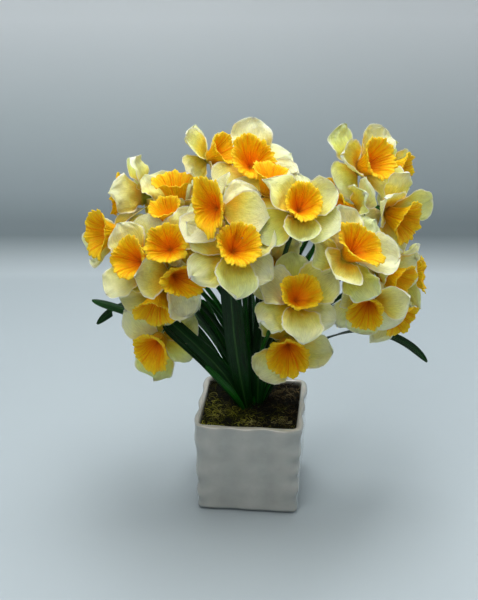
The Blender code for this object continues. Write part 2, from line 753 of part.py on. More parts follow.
def build_blooms(collection, surroundings):
    frames = {bloom.name: bloom_frame(bloom) for bloom in BLOOMS}
    cups = {}
    hubs = {}
    for bloom in BLOOMS:
        frame = frames[bloom.name]
        cups[bloom.name] = cup_mesh(bloom, frame)
        surroundings.add("cup_" + bloom.name, cups[bloom.name])
    for bloom in BLOOMS:
        hubs[bloom.name] = hub_mesh(frames[bloom.name])
        surroundings.add("hub_" + bloom.name, hubs[bloom.name])
    build_bush(collection, surroundings)
    rng = random.Random(SEED)
    changes = stance_changes()
    for bloom in BLOOMS:
        frame = frames[bloom.name]
        stances = preferred_stances(bloom, rng)
        blades = [hubs[bloom.name]]
        for index in TEPAL_ORDER:
            stance = clear_stance(bloom, frame, index, stances[index], changes, surroundings)
            blades.append(tepal_mesh(frame, stance, tepal_root(index), TEPAL_THICK * bloom.size))
            surroundings.add(f"petal_{index}_{bloom.name}", blades[-1])
        joined("petals_" + bloom.name, blades, "cream_silk", collection)
        add_object("cup_" + bloom.name, cups[bloom.name], "orange_silk", collection)


def main():
    clear_scene()
    collection = bpy.data.collections.new("daffodil_arrangement")
    bpy.context.scene.collection.children.link(collection)
    build_pot(collection)
    build_foam(collection)
    build_moss(collection)
    surroundings = Surroundings()
    for name in ("pot", "moss"):
        surroundings.add(name, bpy.data.objects[name].data)
    build_blooms(collection, surroundings)


main()
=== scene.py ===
"""The looks of a pot of artificial daffodils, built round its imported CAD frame.

Silk blooms, moulded stems and leaves, dry moss and a glazed pot, on a pale table.
Metres, +Z up, front towards -Y.
"""

import math
import random
from collections import namedtuple
from itertools import product

import bpy
from mathutils import Matrix, Vector, noise
from mathutils.bvhtree import BVHTree
from mathutils.kdtree import KDTree


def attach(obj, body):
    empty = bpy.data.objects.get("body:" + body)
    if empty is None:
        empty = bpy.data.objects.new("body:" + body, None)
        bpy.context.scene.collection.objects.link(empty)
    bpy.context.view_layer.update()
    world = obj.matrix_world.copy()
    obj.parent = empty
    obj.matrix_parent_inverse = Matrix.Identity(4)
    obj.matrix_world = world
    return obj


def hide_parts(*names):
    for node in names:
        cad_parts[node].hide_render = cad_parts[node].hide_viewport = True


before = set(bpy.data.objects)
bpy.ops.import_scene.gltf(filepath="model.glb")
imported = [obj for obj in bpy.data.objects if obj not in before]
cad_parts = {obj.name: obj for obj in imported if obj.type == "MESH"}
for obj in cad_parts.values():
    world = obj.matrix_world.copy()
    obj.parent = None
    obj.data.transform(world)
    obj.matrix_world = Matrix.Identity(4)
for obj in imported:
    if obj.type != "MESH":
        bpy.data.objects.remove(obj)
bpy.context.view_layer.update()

# The pot, as the CAD source gives it
POT_TOP = 0.102
POT_FOOT = 0.095
POT_HEIGHT = 0.097
POT_CORNER = 0.009
INNER_CORNER = 0.004
WALL = 0.0065
FLOOR = 0.008
FOOT_BEVEL = 0.003
RIM_DEPTH = 0.005
INNER_BEVEL = 0.004
WAVES_ACROSS = 1.5
WAVES_UP = 2.0
GAP = 0.0003

# The filling and the bush's foot
FOAM_TOP = 0.071
MOSS_EDGE = 0.0890
MOSS_RISE = 0.0030
TRUNK_AT = Vector((0.000, 0.006, 0))
TRUNK_RADIUS = 0.0135
TRUNK_FOOT = 0.030
TRUNK_TOP = 0.0960
START_DEPTH = 0.0045

# Stems and leaves
STEM_RADIUS = 0.0024
NECK_RADIUS = 0.0033
NECK_LENGTH = 0.026
POD_LENGTH = 0.006
STEM_STATIONS = (0, 0.27, 0.53, 0.78, 1.0)
STEM_BOWS = (0, 0.010, 0.020, 0.030, 0.042, 0.056)
NECKS = (NECK_LENGTH, NECK_LENGTH * 0.6, NECK_LENGTH * 1.6)
BOW_SIDES = 12
STEM_RISE = 0.55
STEM_SPREAD = 0.6
SLOPE_BASE = 0.03
LEAF_THICK = 0.0010
LEAF_FOLD = 0.28
LEAF_START = 0.6
EDGE_ON = 0.85

# One bloom of size 1
TEPALS = 6
TEPAL_LENGTH = 0.0390
TEPAL_WIDTH = 0.0370
TEPAL_WIDEST = 0.56
TEPAL_ROOT = 0.19
TIP_FULLNESS = 2.3
TIP_ROUNDNESS = 0.6
ROOT_RADIUS = 0.0043
OUTER_ROOT = -0.0046
INNER_ROOT = -0.0018
HUB_TOP = 0.0004
HUB_LENGTH = 0.0085
HUB_FOOT = 0.0036
HUB_RIM = 0.0084
CUP_SEAT = HUB_TOP + GAP
CUP_FOOT = 0.0066
CUP_LIP = 0.0170
CUP_DEPTH = 0.0265
CUP_FLARE = 0.45
CUP_DROOP = 0.10

# How the petals' stances are drawn and changed in the CAD source
MOST_LEAN = math.radians(58)
LEAST_LEAN = math.radians(-66)
DRAWN_LEAN = (4, 20)
INNER_LEAN = 10
AROUND_SPREAD = 4
REACH_SPREAD = 0.04
CURL_RANGE = (-30, 14)
INNER_CUP = 0.12
CUP_SPREAD = 0.16
TWIST_SPREAD = 0.22
TURN_COST = 1.2
CURL_COST = 0.4
REACH_COST = 160
SEED = 7

# The view of the reference picture, 478 x 600 pixels
PHOTO_MIDDLE = (239, 300)
PHOTO_HEIGHT = 600
FOCAL_PIXELS = 1467
CAMERA_DOWN = math.radians(26.0)
CAMERA_ROUND = math.radians(5.5)
RIM_SEEN = (247, 428)
RIM_DISTANCE = 1.395
SENSOR = 36

AHEAD = Vector((math.sin(CAMERA_ROUND), -math.cos(CAMERA_ROUND), 0))
RIGHT = Vector((math.cos(CAMERA_ROUND), math.sin(CAMERA_ROUND), 0))
TO_VIEWER = AHEAD * math.cos(CAMERA_DOWN) + Vector((0, 0, math.sin(CAMERA_DOWN)))
UPWARD = TO_VIEWER.cross(RIGHT)

# The blooms and leaves, as the CAD source places them: seen at a pixel of the picture and so many millimetres
# in front of the pot's middle, with turns in degrees. A leaf's width is in millimetres.
Bloom = namedtuple(
    "Bloom", "name seen ahead turn nod roll size oval leans slant", defaults=(1.0, 1.0, None, 0)
)
BLOOMS = [
    Bloom("middle", (232, 252), 98, 14, 17, 2, 1.08, 1.0, (15, 15, 10, 12, 32, 52), 10),
    Bloom("right_of_middle", (298, 212), 82, 10, 24, 5, 1.0, 1.1, (14, 42, 20, 20, -20, 38)),
    Bloom("right_inner", (349, 255), 84, 24, 20, 40, 1.08, 1.24, (30, 12, 10, 22, 18, 42), -43),
    Bloom("low_middle", (295, 301), 88, 14, 16, 0, 1.04, 1.0, (18, 20, 34, 40, 36, 46)),
    Bloom("low_front", (288, 344), 24, 0, -28, 40, 1.12, 1.0, (-45, 6, -62, 8, -20, 20)),
    Bloom("left_of_middle", (217, 209), 86, -16, 2, 35, 1.06, 1.42, (4, -50, 40, 30, 50, -60), -8),
    Bloom("left_inner", (171, 250), 66, -8, 12, -20, 1.04, 0.92, (12, 62, 0, 10, -30, -50)),
    Bloom("low_left_inner", (173, 275), 68, 30, -15, -25, 1.04, 0.8, (30, 30, 20, 2, -50, -40)),
    Bloom("left", (142, 262), 50, -28, 6, 25, 1.04, 1.05, (20, 56, 10, 12, -10, 20)),
    Bloom("far_left", (117, 233), 12, -48, -2, 45, 1.04, 1.2, (-60, -30, -10, 20, 55, -60)),
    Bloom("low_left", (160, 292), 50, -20, -56, 10, 1.0, 1.0),
    Bloom("lowest_left", (160, 339), 20, -20, -34, 15, 1.04, 1.15, (-30, -50, -20, 10, 0, -20)),
    Bloom("upper_left", (143, 197), -22, -100, 6, 30, 1.06, 1.0, (30, 57, 40, 30, 30, 20)),
    Bloom("top_left", (177, 204), 4, -10, 60, 0, 1.06, 1.0, (40, 50, 50, 54, 50, 40)),
    Bloom("left_behind", (170, 222), 34, -16, 46, 30, 0.85),
    Bloom("crown_left", (210, 158), -6, 50, 22, 0, 0.86, 1.0, (0, 10, 20, 10, 0, 0)),
    Bloom("crown", (250, 168), 6, 8, 20, 60, 1.10, 1.0, (0, 52, 10, 24, -10, 4)),
    Bloom("crown_right", (268, 193), 50, 8, 60, 0, 0.95, 1.0, (45, 40, 55, 55, 55, 45)),
    Bloom("centre_behind", (270, 262), 26, -40, -10, 0, 0.9, 1.0),
    Bloom("right_behind", (322, 204), 0, 4, 88, 30, 0.90, 1.0, (62, 62, 62, 62, 62, 62)),
    Bloom("right_upper", (352, 212), 26, -55, 5, 10, 0.92, 1.0, (5, 50, 40, 30, 10, -10)),
    Bloom("far_upper_right", (362, 168), -16, 40, 14, -20, 1.12, 1.0, (5, 10, 0, 20, 20, 54)),
    Bloom("far_upper_back", (384, 170), -60, 70, -6, 20, 0.98, 0.95, (50, 55, 50, 50, 50, 50)),
    Bloom("right_drooping", (388, 214), 14, 50, -24, 0, 1.06, 1.1, (14, 40, 48, 30, 28, 10)),
    Bloom("right_side", (382, 272), 34, 60, -26, 0, 1.06, 1.0, (30, 40, 20, 30, 30, 20)),
    Bloom("far_right", (399, 276), -16, 78, 4, 25, 0.98, 1.0, (40, 45, 50, 60, 60, 40)),
    Bloom("low_right", (369, 300), 58, -14, -34, 20, 0.92, 0.95, (10, -50, -50, 10, 10, 20)),
    Bloom("low_far_right", (388, 304), 4, 48, -42, 18, 0.98, 1.0),
]

Leaf = namedtuple("Leaf", "name first second tip width face")
LEAVES = [
    Leaf("long_left", ((222, 352), 8), ((158, 316), 0), ((92, 300), -4), 11, 40),
    Leaf("cross_left", ((206, 318), -34), ((150, 268), -40), ((97, 324), -22), 9, 10),
    Leaf("broad_left", ((232, 372), 16), ((200, 350), 24), ((166, 318), 20), 15, 20),
    Leaf("edge_left", ((228, 384), 30), ((196, 356), 34), ((163, 326), 34), 7, 60),
    Leaf("middle", ((238, 372), 24), ((232, 330), 38), ((230, 276), 40), 19, 0),
    Leaf("middle_right", ((256, 368), 10), ((262, 330), 12), ((272, 286), 10), 16, 0),
    Leaf("short_left", ((232, 360), -6), ((218, 330), -12), ((200, 300), -16), 11, 10),
    Leaf("behind_right", ((268, 350), -20), ((300, 290), -26), ((330, 250), -24), 16, 20),
    Leaf("long_right", ((286, 340), -22), ((372, 300), -28), ((427, 362), -10), 10, 40),
    Leaf("low_right", ((262, 372), 0), ((292, 336), 4), ((336, 318), 6), 8, 50),
    Leaf("short_front", ((236, 392), 34), ((222, 382), 40), ((206, 366), 44), 6, 40),
    Leaf("back_left", ((236, 362), -40), ((214, 320), -62), ((176, 300), -84), 12, 0),
    Leaf("back_right", ((262, 362), -40), ((292, 320), -66), ((330, 306), -92), 12, 0),
    Leaf("back_middle", ((250, 360), -46), ((252, 312), -76), ((246, 282), -100), 13, 0),
]

# How fine the scene's own meshes are
PETAL_ROWS = 28
PETAL_COLUMNS = 18
PETAL_THICK = 0.00034
CUP_THICK = 0.0005
CUP_STEPS = 252
CUP_ROWS = 15
CUP_SPREAD_OUT = 0.99
GATHER_END = 0.42
GATHER_POWER = 0.60
GATHER_LEAST = 0.05
HUB_STEPS = 24
STEM_SIDES = 10
STEM_STEPS = 28
LEAF_ROWS = 44
LEAF_COLUMNS = 12
LEAF_ROUND = 0.90
BASE_SUNK = 0.0095
FOOT_SUNK = 0.0035
STEM_SUNK = 0.004


def camera_ray(at):
    """From the camera through a pixel of the picture, one unit deep."""
    across = (at[0] - PHOTO_MIDDLE[0]) / FOCAL_PIXELS
    down = (at[1] - PHOTO_MIDDLE[1]) / FOCAL_PIXELS
    return RIGHT * across - UPWARD * down - TO_VIEWER


CAMERA_AT = Vector((0, -POT_TOP / 2, POT_HEIGHT)) - camera_ray(RIM_SEEN) * RIM_DISTANCE


def seen_at(pixel, ahead_mm):
    """The point that the picture shows at a pixel, that many millimetres in front of the pot's middle."""
    towards = camera_ray(pixel)
    far = (ahead_mm / 1000 - CAMERA_AT.dot(AHEAD)) / towards.dot(AHEAD)
    return CAMERA_AT + towards * far


# Meshes: points and faces are gathered with a few values for each point, which the materials read

class Form:
    """The points, faces and point values of one mesh."""

    def __init__(self, *values):
        self.points = []
        self.faces = []
        self.values = {value: [] for value in values}

    def add(self, point, **values):
        self.points.append(point)
        for value, numbers in self.values.items():
            numbers.append(values.get(value, 0.0))
        return len(self.points) - 1

    def span(self, low, high, closed=True, flip=False):
        """Faces between two lines of points. Closed lines run round."""
        count = len(low)
        for j in range(count if closed else count - 1):
            k = (j + 1) % count
            face = (low[j], low[k], high[k], high[j])
            self.faces.append(face[::-1] if flip else face)

    def close(self, lines):
        """Faces through closed lines of points, with a cap at each end."""
        for low, high in zip(lines, lines[1:]):
            self.span(low, high)
        self.faces.append(tuple(reversed(lines[0])))
        self.faces.append(tuple(lines[-1]))

    def mesh(self, name):
        mesh = bpy.data.meshes.new(name)
        mesh.from_pydata([tuple(point) for point in self.points], [], self.faces)
        for value, numbers in self.values.items():
            mesh.attributes.new(value, "FLOAT", "POINT").data.foreach_set("value", numbers)
        mesh.validate()
        mesh.polygons.foreach_set("use_smooth", [True] * len(mesh.polygons))
        mesh.update()
        return mesh


def grid_normals(grid, closed):
    """The normal at each point of a grid of points. A closed grid's columns run round."""
    rows, columns = len(grid), len(grid[0])
    normals = []
    for i in range(rows):
        below, above = grid[max(i - 1, 0)], grid[min(i + 1, rows - 1)]
        line = []
        for j in range(columns):
            if closed:
                left, right = grid[i][j - 1], grid[i][(j + 1) % columns]
            else:
                left, right = grid[i][max(j - 1, 0)], grid[i][min(j + 1, columns - 1)]
            line.append((above[j] - below[j]).cross(right - left).normalized())
        normals.append(line)
    return normals


def add_blade(form, grid, thick, values):
    """A closed blade round a grid of points, thick(j) through at column j, with values(i, j) at a point."""
    normals = grid_normals(grid, False)
    rows, columns = len(grid), len(grid[0])
    layers = []
    for side in (1, -1):
        layer = []
        for i in range(rows):
            line = []
            for j in range(columns):
                line.append(form.add(grid[i][j] + normals[i][j] * (thick(j) / 2) * side, **values(i, j)))
            layer.append(line)
        layers.append(layer)
    top, bottom = layers
    for i in range(rows - 1):
        form.span(top[i], top[i + 1], closed=False, flip=True)
        form.span(bottom[i], bottom[i + 1], closed=False)
    rim = [(0, j) for j in range(columns)]
    rim += [(i, columns - 1) for i in range(1, rows)]
    rim += [(rows - 1, j) for j in range(columns - 2, -1, -1)]
    rim += [(i, 0) for i in range(rows - 2, 0, -1)]
    form.span([top[i][j] for i, j in rim], [bottom[i][j] for i, j in rim], flip=True)


def add_tube(form, rings, values):
    """A closed tube through rings of points, with values(i, j) at each point."""
    lines = []
    for i, ring in enumerate(rings):
        lines.append([form.add(point, **values(i, j)) for j, point in enumerate(ring)])
    form.close(lines)


def place_object(name, data):
    made = bpy.data.objects.new(name, data)
    bpy.context.scene.collection.objects.link(made)
    return made


def place_piece(form, name, finish, node):
    """The form as a piece on the root body, which stands for a CAD node."""
    piece = place_object(name, form.mesh(name))
    piece.data.materials.append(finish)
    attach(piece, "root")
    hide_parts(node)


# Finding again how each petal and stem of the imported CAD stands

# Places on a petal where the CAD blade has points, each u and v, how near to them points are looked for,
# and how many places or stations are enough
BLADE_PLACES = ((0.78, 0), (0.40, 0), (1.0, 0), (0.78, 1), (0.78, -1), (0.40, 1), (0.40, -1))
BLADE_REACH = 0.0014
POINT_DIGITS = 6
POINT_TOLERANCE = 4e-5
ENOUGH_PLACES = 6
FEWEST_PLACES = 3
FEWEST_STATIONS = 2
LEAST_CURL = 0.001

# What the CAD source tries on a petal: degrees to lean, to turn and to curl it, and a share of its length
LEAN_STEPS = range(-88, 57, 8)
AROUND_STEPS = range(-32, 33, 8)
CURL_STEPS = (-40, 0, 40)
REACH_STEPS = (1.0, 0.9, 0.8, 0.7, 0.6, 0.5, 0.4)


class CadPoints:
    """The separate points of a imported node, to find pairs that lie evenly on both sides of a place."""

    def __init__(self, node):
        own = {tuple(round(c, POINT_DIGITS) for c in vert.co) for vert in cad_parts[node].data.vertices}
        self.tree = KDTree(len(own))
        for index, point in enumerate(sorted(own)):
            self.tree.insert(point, index)
        self.tree.balance()

    def straddles(self, place, reach, tolerance):
        near = [found[0] for found in self.tree.find_range(place, reach)]
        for index, first in enumerate(near):
            for second in near[index + 1:]:
                if ((first + second) / 2 - place).length < tolerance:
                    return True
        return False


def bloom_frame(bloom):
    """The matrix of a bloom's own frame: its heart at the origin, +Z out of its cup, +X up in the picture."""
    turn, nod = math.radians(bloom.turn), math.radians(bloom.nod)
    level = RIGHT * math.sin(turn) + TO_VIEWER * math.cos(turn)
    facing = level * math.cos(nod) + UPWARD * math.sin(nod)
    upright = UPWARD * math.cos(nod) - level * math.sin(nod)
    turned = Matrix((upright, facing.cross(upright), facing)).transposed().to_4x4()
    return Matrix.Translation(seen_at(bloom.seen, bloom.ahead)) @ turned @ Matrix.Scale(bloom.size, 4)


# How one petal stands: its angle round the bloom, how far it leans forward, how long it is as a share of a
# whole one, how much it bends forward along its length, how far its sides rise, and how far it twists.
Stance = namedtuple("Stance", "around lean reach curl cup twist")


def outline(u, roundness=TIP_ROUNDNESS):
    """A petal's half width at u, as a share of its widest: narrow at the root and round at the tip."""
    if u < TEPAL_WIDEST:
        return TEPAL_ROOT + (1 - TEPAL_ROOT) * math.sin(math.pi / 2 * u / TEPAL_WIDEST)
    return max(0.0, 1 - ((u - TEPAL_WIDEST) / (1 - TEPAL_WIDEST)) ** TIP_FULLNESS) ** roundness


def tepal_point(stance, root, u, v, half=None, rise=0.0):
    """The point u of the way along a petal and v across it, from -1 to 1, in the bloom's frame."""
    length = TEPAL_LENGTH * stance.reach
    bend = stance.curl if abs(stance.curl) > LEAST_CURL else LEAST_CURL
    start = stance.lean - bend / 2
    angle = start + bend * u
    out = ROOT_RADIUS + length / bend * (math.sin(angle) - math.sin(start))
    along = root - length / bend * (math.cos(angle) - math.cos(start))
    if half is None:
        half = TEPAL_WIDTH / 2 * stance.reach * outline(u)
    lift = half * (stance.cup * v * v + stance.twist * u * v) + rise
    local = Vector((out - math.sin(angle) * lift, v * half, along + math.cos(angle) * lift))
    return Matrix.Rotation(stance.around, 3, "Z") @ local


def tepal_root(index):
    """Outer petals, the even ones, start behind the inner ones."""
    return INNER_ROOT if index % 2 else OUTER_ROOT


def preferred_stances(bloom, rng):
    """How the bloom's six petals would stand with nothing in their way."""
    stances = []
    for index in range(TEPALS):
        inner = index % 2
        drawn = rng.uniform(*DRAWN_LEAN) + INNER_LEAN * inner
        lean = bloom.leans[index] if bloom.leans else drawn
        around = -math.radians(bloom.roll + 360 / TEPALS * index + rng.uniform(-AROUND_SPREAD, AROUND_SPREAD))
        reach = rng.uniform(1 - REACH_SPREAD, 1 + REACH_SPREAD)
        curl = math.radians(rng.uniform(*CURL_RANGE))
        cup = INNER_CUP * inner + rng.uniform(0, CUP_SPREAD)
        twist = rng.uniform(-TWIST_SPREAD, TWIST_SPREAD)
        stances.append(Stance(around, math.radians(lean), reach, curl, cup, twist))
    return stances


def stance_changes():
    """Ways to bend a petal clear of what is near it, the least first."""
    changes = []
    for lean, around, curl, reach in product(LEAN_STEPS, AROUND_STEPS, CURL_STEPS, REACH_STEPS):
        cost = abs(lean) + abs(around) * TURN_COST + abs(curl) * CURL_COST + (1 - reach) * REACH_COST
        changes.append((cost, lean, around, curl, reach))
    return [change[1:] for change in sorted(changes)]


def changed(stance, change):
    lean, around, curl, reach = change
    return stance._replace(
        lean=stance.lean + math.radians(lean),
        around=stance.around + math.radians(around),
        curl=stance.curl + math.radians(curl),
        reach=stance.reach * reach,
    )


def packed_stance(place, stance, root, size, changes, cad):
    """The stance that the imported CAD's petal has: the change whose blade lies where the node's points are."""
    best = (0, stance)
    for change in changes:
        trial = changed(stance, change)
        if not LEAST_LEAN <= trial.lean <= MOST_LEAN:
            continue
        matches = 0
        for u, v in BLADE_PLACES:
            if cad.straddles(place @ tepal_point(trial, root, u, v), BLADE_REACH * size, POINT_TOLERANCE):
                matches += 1
            elif (u, v) == BLADE_PLACES[0]:
                break
        if matches > best[0]:
            best = (matches, trial)
        if matches >= ENOUGH_PLACES:
            break
    if best[0] < FEWEST_PLACES:
        print("petal not found again", best[0])
    return best[1]


# Petals

# A petal's own small differences, in metres where they aren't shares: how long and wide it is cut, how
# round its tip is, how its edges ruffle, how its silk fans out in folds and crumples, how its tip, sides and
# middle bend, how its edges roll, how it twists and flaps, how ragged its edge is, and its shade
Silk = namedtuple(
    "Silk",
    "length width roundness ruffle waves phase fan folds crumple "
    "tip cupping crease rolls twist flap nick tone",
)

# The range that each difference is drawn from
LENGTHS = (0.92, 1.0)
WIDTHS = (0.86, 1.06)
ROUND_TIPS = (0.50, 0.68)
POINTED_TIPS = (0.72, 1.00)
WISPY_TIPS = (1.10, 1.50)
RUFFLES = (0.0010, 0.0044)
WAVES = (1.0, 3.2)
PHASES = (0, 6.28)
FANS = (0.0003, 0.0012)
FOLDS = (1.6, 3.6)
CRUMPLES = (0.0016, 0.0046)
TIP_BENDS = (-0.0040, 0.0070)
WISPY_BENDS = (0.0050, 0.0120)
CUPPINGS = (0.00, 0.46)
MIDDLE_CREASES = (-0.10, 0.42)
EDGE_ROLLS = (-0.0030, 0.0056)
TWISTS = (-0.40, 0.40)
FLAPS = (0.2, 0.6)
NICKS = (0.03, 0.09)
ROUND_SHARE = 0.45
POINTED_SHARE = 0.82
WISPY_TWIST = 1.8

# How the differences act along a petal and across it
LOOSE_FROM_ROOT = 0.45
RUFFLE_POWER = 2.6
ROLL_POWER = 5
FAN_FADE = 0.45
MIDRIB_DEPTH = 0.0006
MIDRIB_WIDTH = 0.09
PINCH_DEPTH = 0.0034
PINCH_LEVEL = 0.25
FINE_DEPTH = 0.00090
CREASE_SOFTNESS = 0.012
CREASE_LEVEL = 0.11
TWIST_FROM = 0.3
FLAP_FROM = 0.4
TIP_FROM = 0.5
TIP_RIM = 0.6
EDGE_THINNING = 0.5
EDGE_POWER = 3
LEAST_HALF = 0.035
SWAY_TURN = 6
NICK_SHARE = 0.7
ROW_POWER = 1.5
SILK_SEED_STEP = 10

# The most that silk stands off the plain blade, the shares of its own shape that a petal tries in turn,
# and how many rows at its root may touch its neighbours
MOST_RISE = 0.0065
FREEDOMS = (1.0, 0.75, 0.5, 0.3, 0.12, 0.0)
ROOT_ROWS = 5

# Noise on a petal: how tight it is along and across, its own layer of the random field, and a shift along
Grain = namedtuple("Grain", "along across layer shift", defaults=(0, 0))
CRUMPLED = Grain(2.6, 1.7)
PINCHED = Grain(2.2, 2.8, 0.2, 5)
FINE = Grain(8.0, 6.0, 0.5)
RAGGED = Grain(7, 3.0, 0.3)
NICKED = Grain(21, 3.0, 0.6)


def grain_at(grain, u, v, seed):
    """A soft random value at a place on a petal, from about -1 to 1."""
    return noise.noise(Vector((u * grain.along + grain.shift, v * grain.across, seed + grain.layer)))


def draw_silk(rng, inner):
    """Inner petals cup round the bloom's middle, outer ones bend back. Tips are round, pointed or wispy."""
    kind = rng.random()
    towards = 1 if inner else -1
    wispy = kind > POINTED_SHARE
    if kind < ROUND_SHARE:
        roundness = rng.uniform(*ROUND_TIPS)
    elif kind < POINTED_SHARE:
        roundness = rng.uniform(*POINTED_TIPS)
    else:
        roundness = rng.uniform(*WISPY_TIPS)
    return Silk(
        length=rng.uniform(*LENGTHS),
        width=rng.uniform(*WIDTHS),
        roundness=roundness,
        ruffle=rng.uniform(*RUFFLES),
        waves=rng.uniform(*WAVES),
        phase=(rng.uniform(*PHASES), rng.uniform(*PHASES)),
        fan=rng.uniform(*FANS),
        folds=rng.uniform(*FOLDS),
        crumple=rng.uniform(*CRUMPLES),
        tip=rng.uniform(*WISPY_BENDS) * rng.choice((-1, 1)) if wispy else rng.uniform(*TIP_BENDS) * towards,
        cupping=rng.uniform(*CUPPINGS) * towards,
        crease=rng.uniform(*MIDDLE_CREASES) * towards,
        rolls=(rng.uniform(*EDGE_ROLLS) * towards, rng.uniform(*EDGE_ROLLS) * towards),
        twist=rng.uniform(*TWISTS) * (WISPY_TWIST if wispy else 1),
        flap=rng.choice((0, 0, 0, rng.uniform(*FLAPS) * towards)),
        nick=rng.uniform(*NICKS),
        tone=rng.uniform(0, 1),
    )


def silk_rise(silk, u, v, half, seed):
    """How far the silk lies off the plain blade at a point."""
    side = 0 if v > 0 else 1
    reach = abs(v)
    loose = math.sin(math.pi / 2 * min(1, u / LOOSE_FROM_ROOT))
    ruffle = silk.ruffle * reach ** RUFFLE_POWER * math.sin(2 * math.pi * silk.waves * u + silk.phase[side])
    roll = silk.rolls[side] * reach ** ROLL_POWER
    fan = silk.fan * (1 - u * FAN_FADE) * math.cos(2 * math.pi * silk.folds * v + silk.phase[0])
    midrib = -MIDRIB_DEPTH * math.exp(-((v / MIDRIB_WIDTH) ** 2)) * (1 - u)
    crumple = silk.crumple * grain_at(CRUMPLED, u, v, seed)
    pinch = PINCH_DEPTH * (PINCH_LEVEL - abs(grain_at(PINCHED, u, v, seed)))
    fine = FINE_DEPTH * grain_at(FINE, u, v, seed)
    bowl = half * (silk.cupping * v * v + silk.crease * (math.sqrt(v * v + CREASE_SOFTNESS) - CREASE_LEVEL))
    turned = half * (silk.twist * v * max(0, u - TWIST_FROM) + silk.flap * max(0, reach - FLAP_FROM) * side)
    tip = silk.tip * max(0, (u - TIP_FROM) / (1 - TIP_FROM)) ** 2
    return (ruffle + roll + fan + midrib + crumple + pinch + fine + bowl + turned) * loose + tip


def petal_share(row):
    """How far along a petal a row of its mesh lies: the rows close up towards the tip."""
    return 1 - (1 - row / PETAL_ROWS) ** ROW_POWER


def petal_across(column):
    """How far across a petal a column of its mesh lies: the columns close up towards both edges."""
    return math.sin(math.pi / 2 * (2 * column / PETAL_COLUMNS - 1))


def petal_grid(place, stance, root, silk, seed, freely):
    """The points of one petal's silk. freely is the share of its own shape that it takes."""
    grid = []
    for row in range(PETAL_ROWS + 1):
        u = petal_share(row)
        half = TEPAL_WIDTH / 2 * stance.reach * silk.width * max(LEAST_HALF, outline(u, silk.roundness))
        reached = u * (1 - (1 - silk.length) * u)
        line = []
        for column in range(PETAL_COLUMNS + 1):
            v = petal_across(column)
            side = 0 if v > 0 else 1
            sway = 1 + silk.nick * math.sin(SWAY_TURN * u + silk.phase[side])
            sway += silk.nick * grain_at(RAGGED, u, side, seed)
            sway += silk.nick * NICK_SHARE * grain_at(NICKED, u, side, seed)
            rise = max(-MOST_RISE, min(MOST_RISE, silk_rise(silk, u, v, half, seed) * freely))
            line.append(place @ tepal_point(stance, root, reached, v, half * sway, rise))
        grid.append(line)
    return grid


class Company:
    """The cups and petals made so far, to ask whether another petal would cross them."""

    def __init__(self):
        self.placed = []

    @staticmethod
    def box(points):
        return [(min(places), max(places)) for places in zip(*points)]

    def add(self, points, faces):
        self.placed.append((self.box(points), BVHTree.FromPolygons(points, faces)))

    def crossed_by(self, points, faces):
        """How many pairs of faces would cross."""
        box = self.box(points)
        tree = BVHTree.FromPolygons(points, faces)
        count = 0
        for other_box, other in self.placed:
            apart = any(box[k][0] > other_box[k][1] or box[k][1] < other_box[k][0] for k in range(3))
            if not apart:
                count += len(tree.overlap(other))
        return count


def open_sheet(grid):
    """A grid of points as a list of points and faces, without the rows at a petal's root."""
    rows, columns = grid[ROOT_ROWS:], len(grid[0])
    points = [point for line in rows for point in line]
    faces = []
    for i in range(len(rows) - 1):
        for j in range(columns - 1):
            corner = i * columns + j
            faces.append((corner, corner + 1, corner + columns + 1, corner + columns))
    return points, faces


def add_petal(form, place, stance, root, silk, seed, company):
    """One petal, in as much of its own shape as the cups and petals round it leave room for."""
    best = None
    for freely in FREEDOMS:
        grid = petal_grid(place, stance, root, silk, seed, freely)
        sheet = open_sheet(grid)
        crossed = company.crossed_by(*sheet)
        if best is None or crossed < best[0]:
            best = (crossed, grid, sheet)
        if not crossed:
            break
    crossed, grid, sheet = best
    company.add(*sheet)

    def values(i, j):
        u, v = petal_share(i), petal_across(j)
        return {"along": u, "across": v, "rim": max(abs(v), (u - TIP_RIM) / (1 - TIP_RIM)), "tone": silk.tone}

    def thick(j):
        return PETAL_THICK * (1 - EDGE_THINNING * abs(petal_across(j)) ** EDGE_POWER)

    add_blade(form, grid, thick, values)


# The hub's section, each a radius and a height
HUB_PROFILE = (
    (HUB_FOOT * 0.75, HUB_TOP - HUB_LENGTH),
    (HUB_FOOT, HUB_TOP - HUB_LENGTH * 0.92),
    (HUB_FOOT * 1.25, HUB_TOP - HUB_LENGTH * 0.62),
    (HUB_RIM * 0.74, HUB_TOP - HUB_LENGTH * 0.25),
    (HUB_RIM * 0.93, HUB_TOP - 0.0008),
    (HUB_RIM * 0.90, HUB_TOP),
)
HUB_RIDGE = 0.05

# The silk's colours run from here at the hub's lower end, through 0 at a petal's root, to 1 at its tip
HUB_ALONG = -0.4
HUB_ALONG_STEP = 0.08


def add_hub(form, place):
    """The short funnel that the petals grow from, with a soft ridge below each."""
    rings = []
    for radius, height in HUB_PROFILE:
        ring = []
        for step in range(HUB_STEPS):
            angle = 2 * math.pi * step / HUB_STEPS
            out = radius * (1 + HUB_RIDGE * math.cos(TEPALS * angle))
            ring.append(place @ Vector((out * math.cos(angle), out * math.sin(angle), height)))
        rings.append(ring)
    add_tube(form, rings, lambda i, j: {"along": HUB_ALONG + HUB_ALONG_STEP * i, "tone": 0.5})


# Cups

# A cup's own small differences: how many soft folds and fine creases run up it, how deep the folds are at the
# lip, and how far the mouth strays from round
Ruff = namedtuple("Ruff", "folds depth creases stray seed")
FOLD_COUNTS = (7, 9, 11, 13)
FOLD_DEPTHS = (0.0006, 0.0012)
CREASE_COUNTS = (29, 31, 33, 36)
STRAYS = (0.0014, 0.0030)
RUFF_SEED_STEP = 3.7

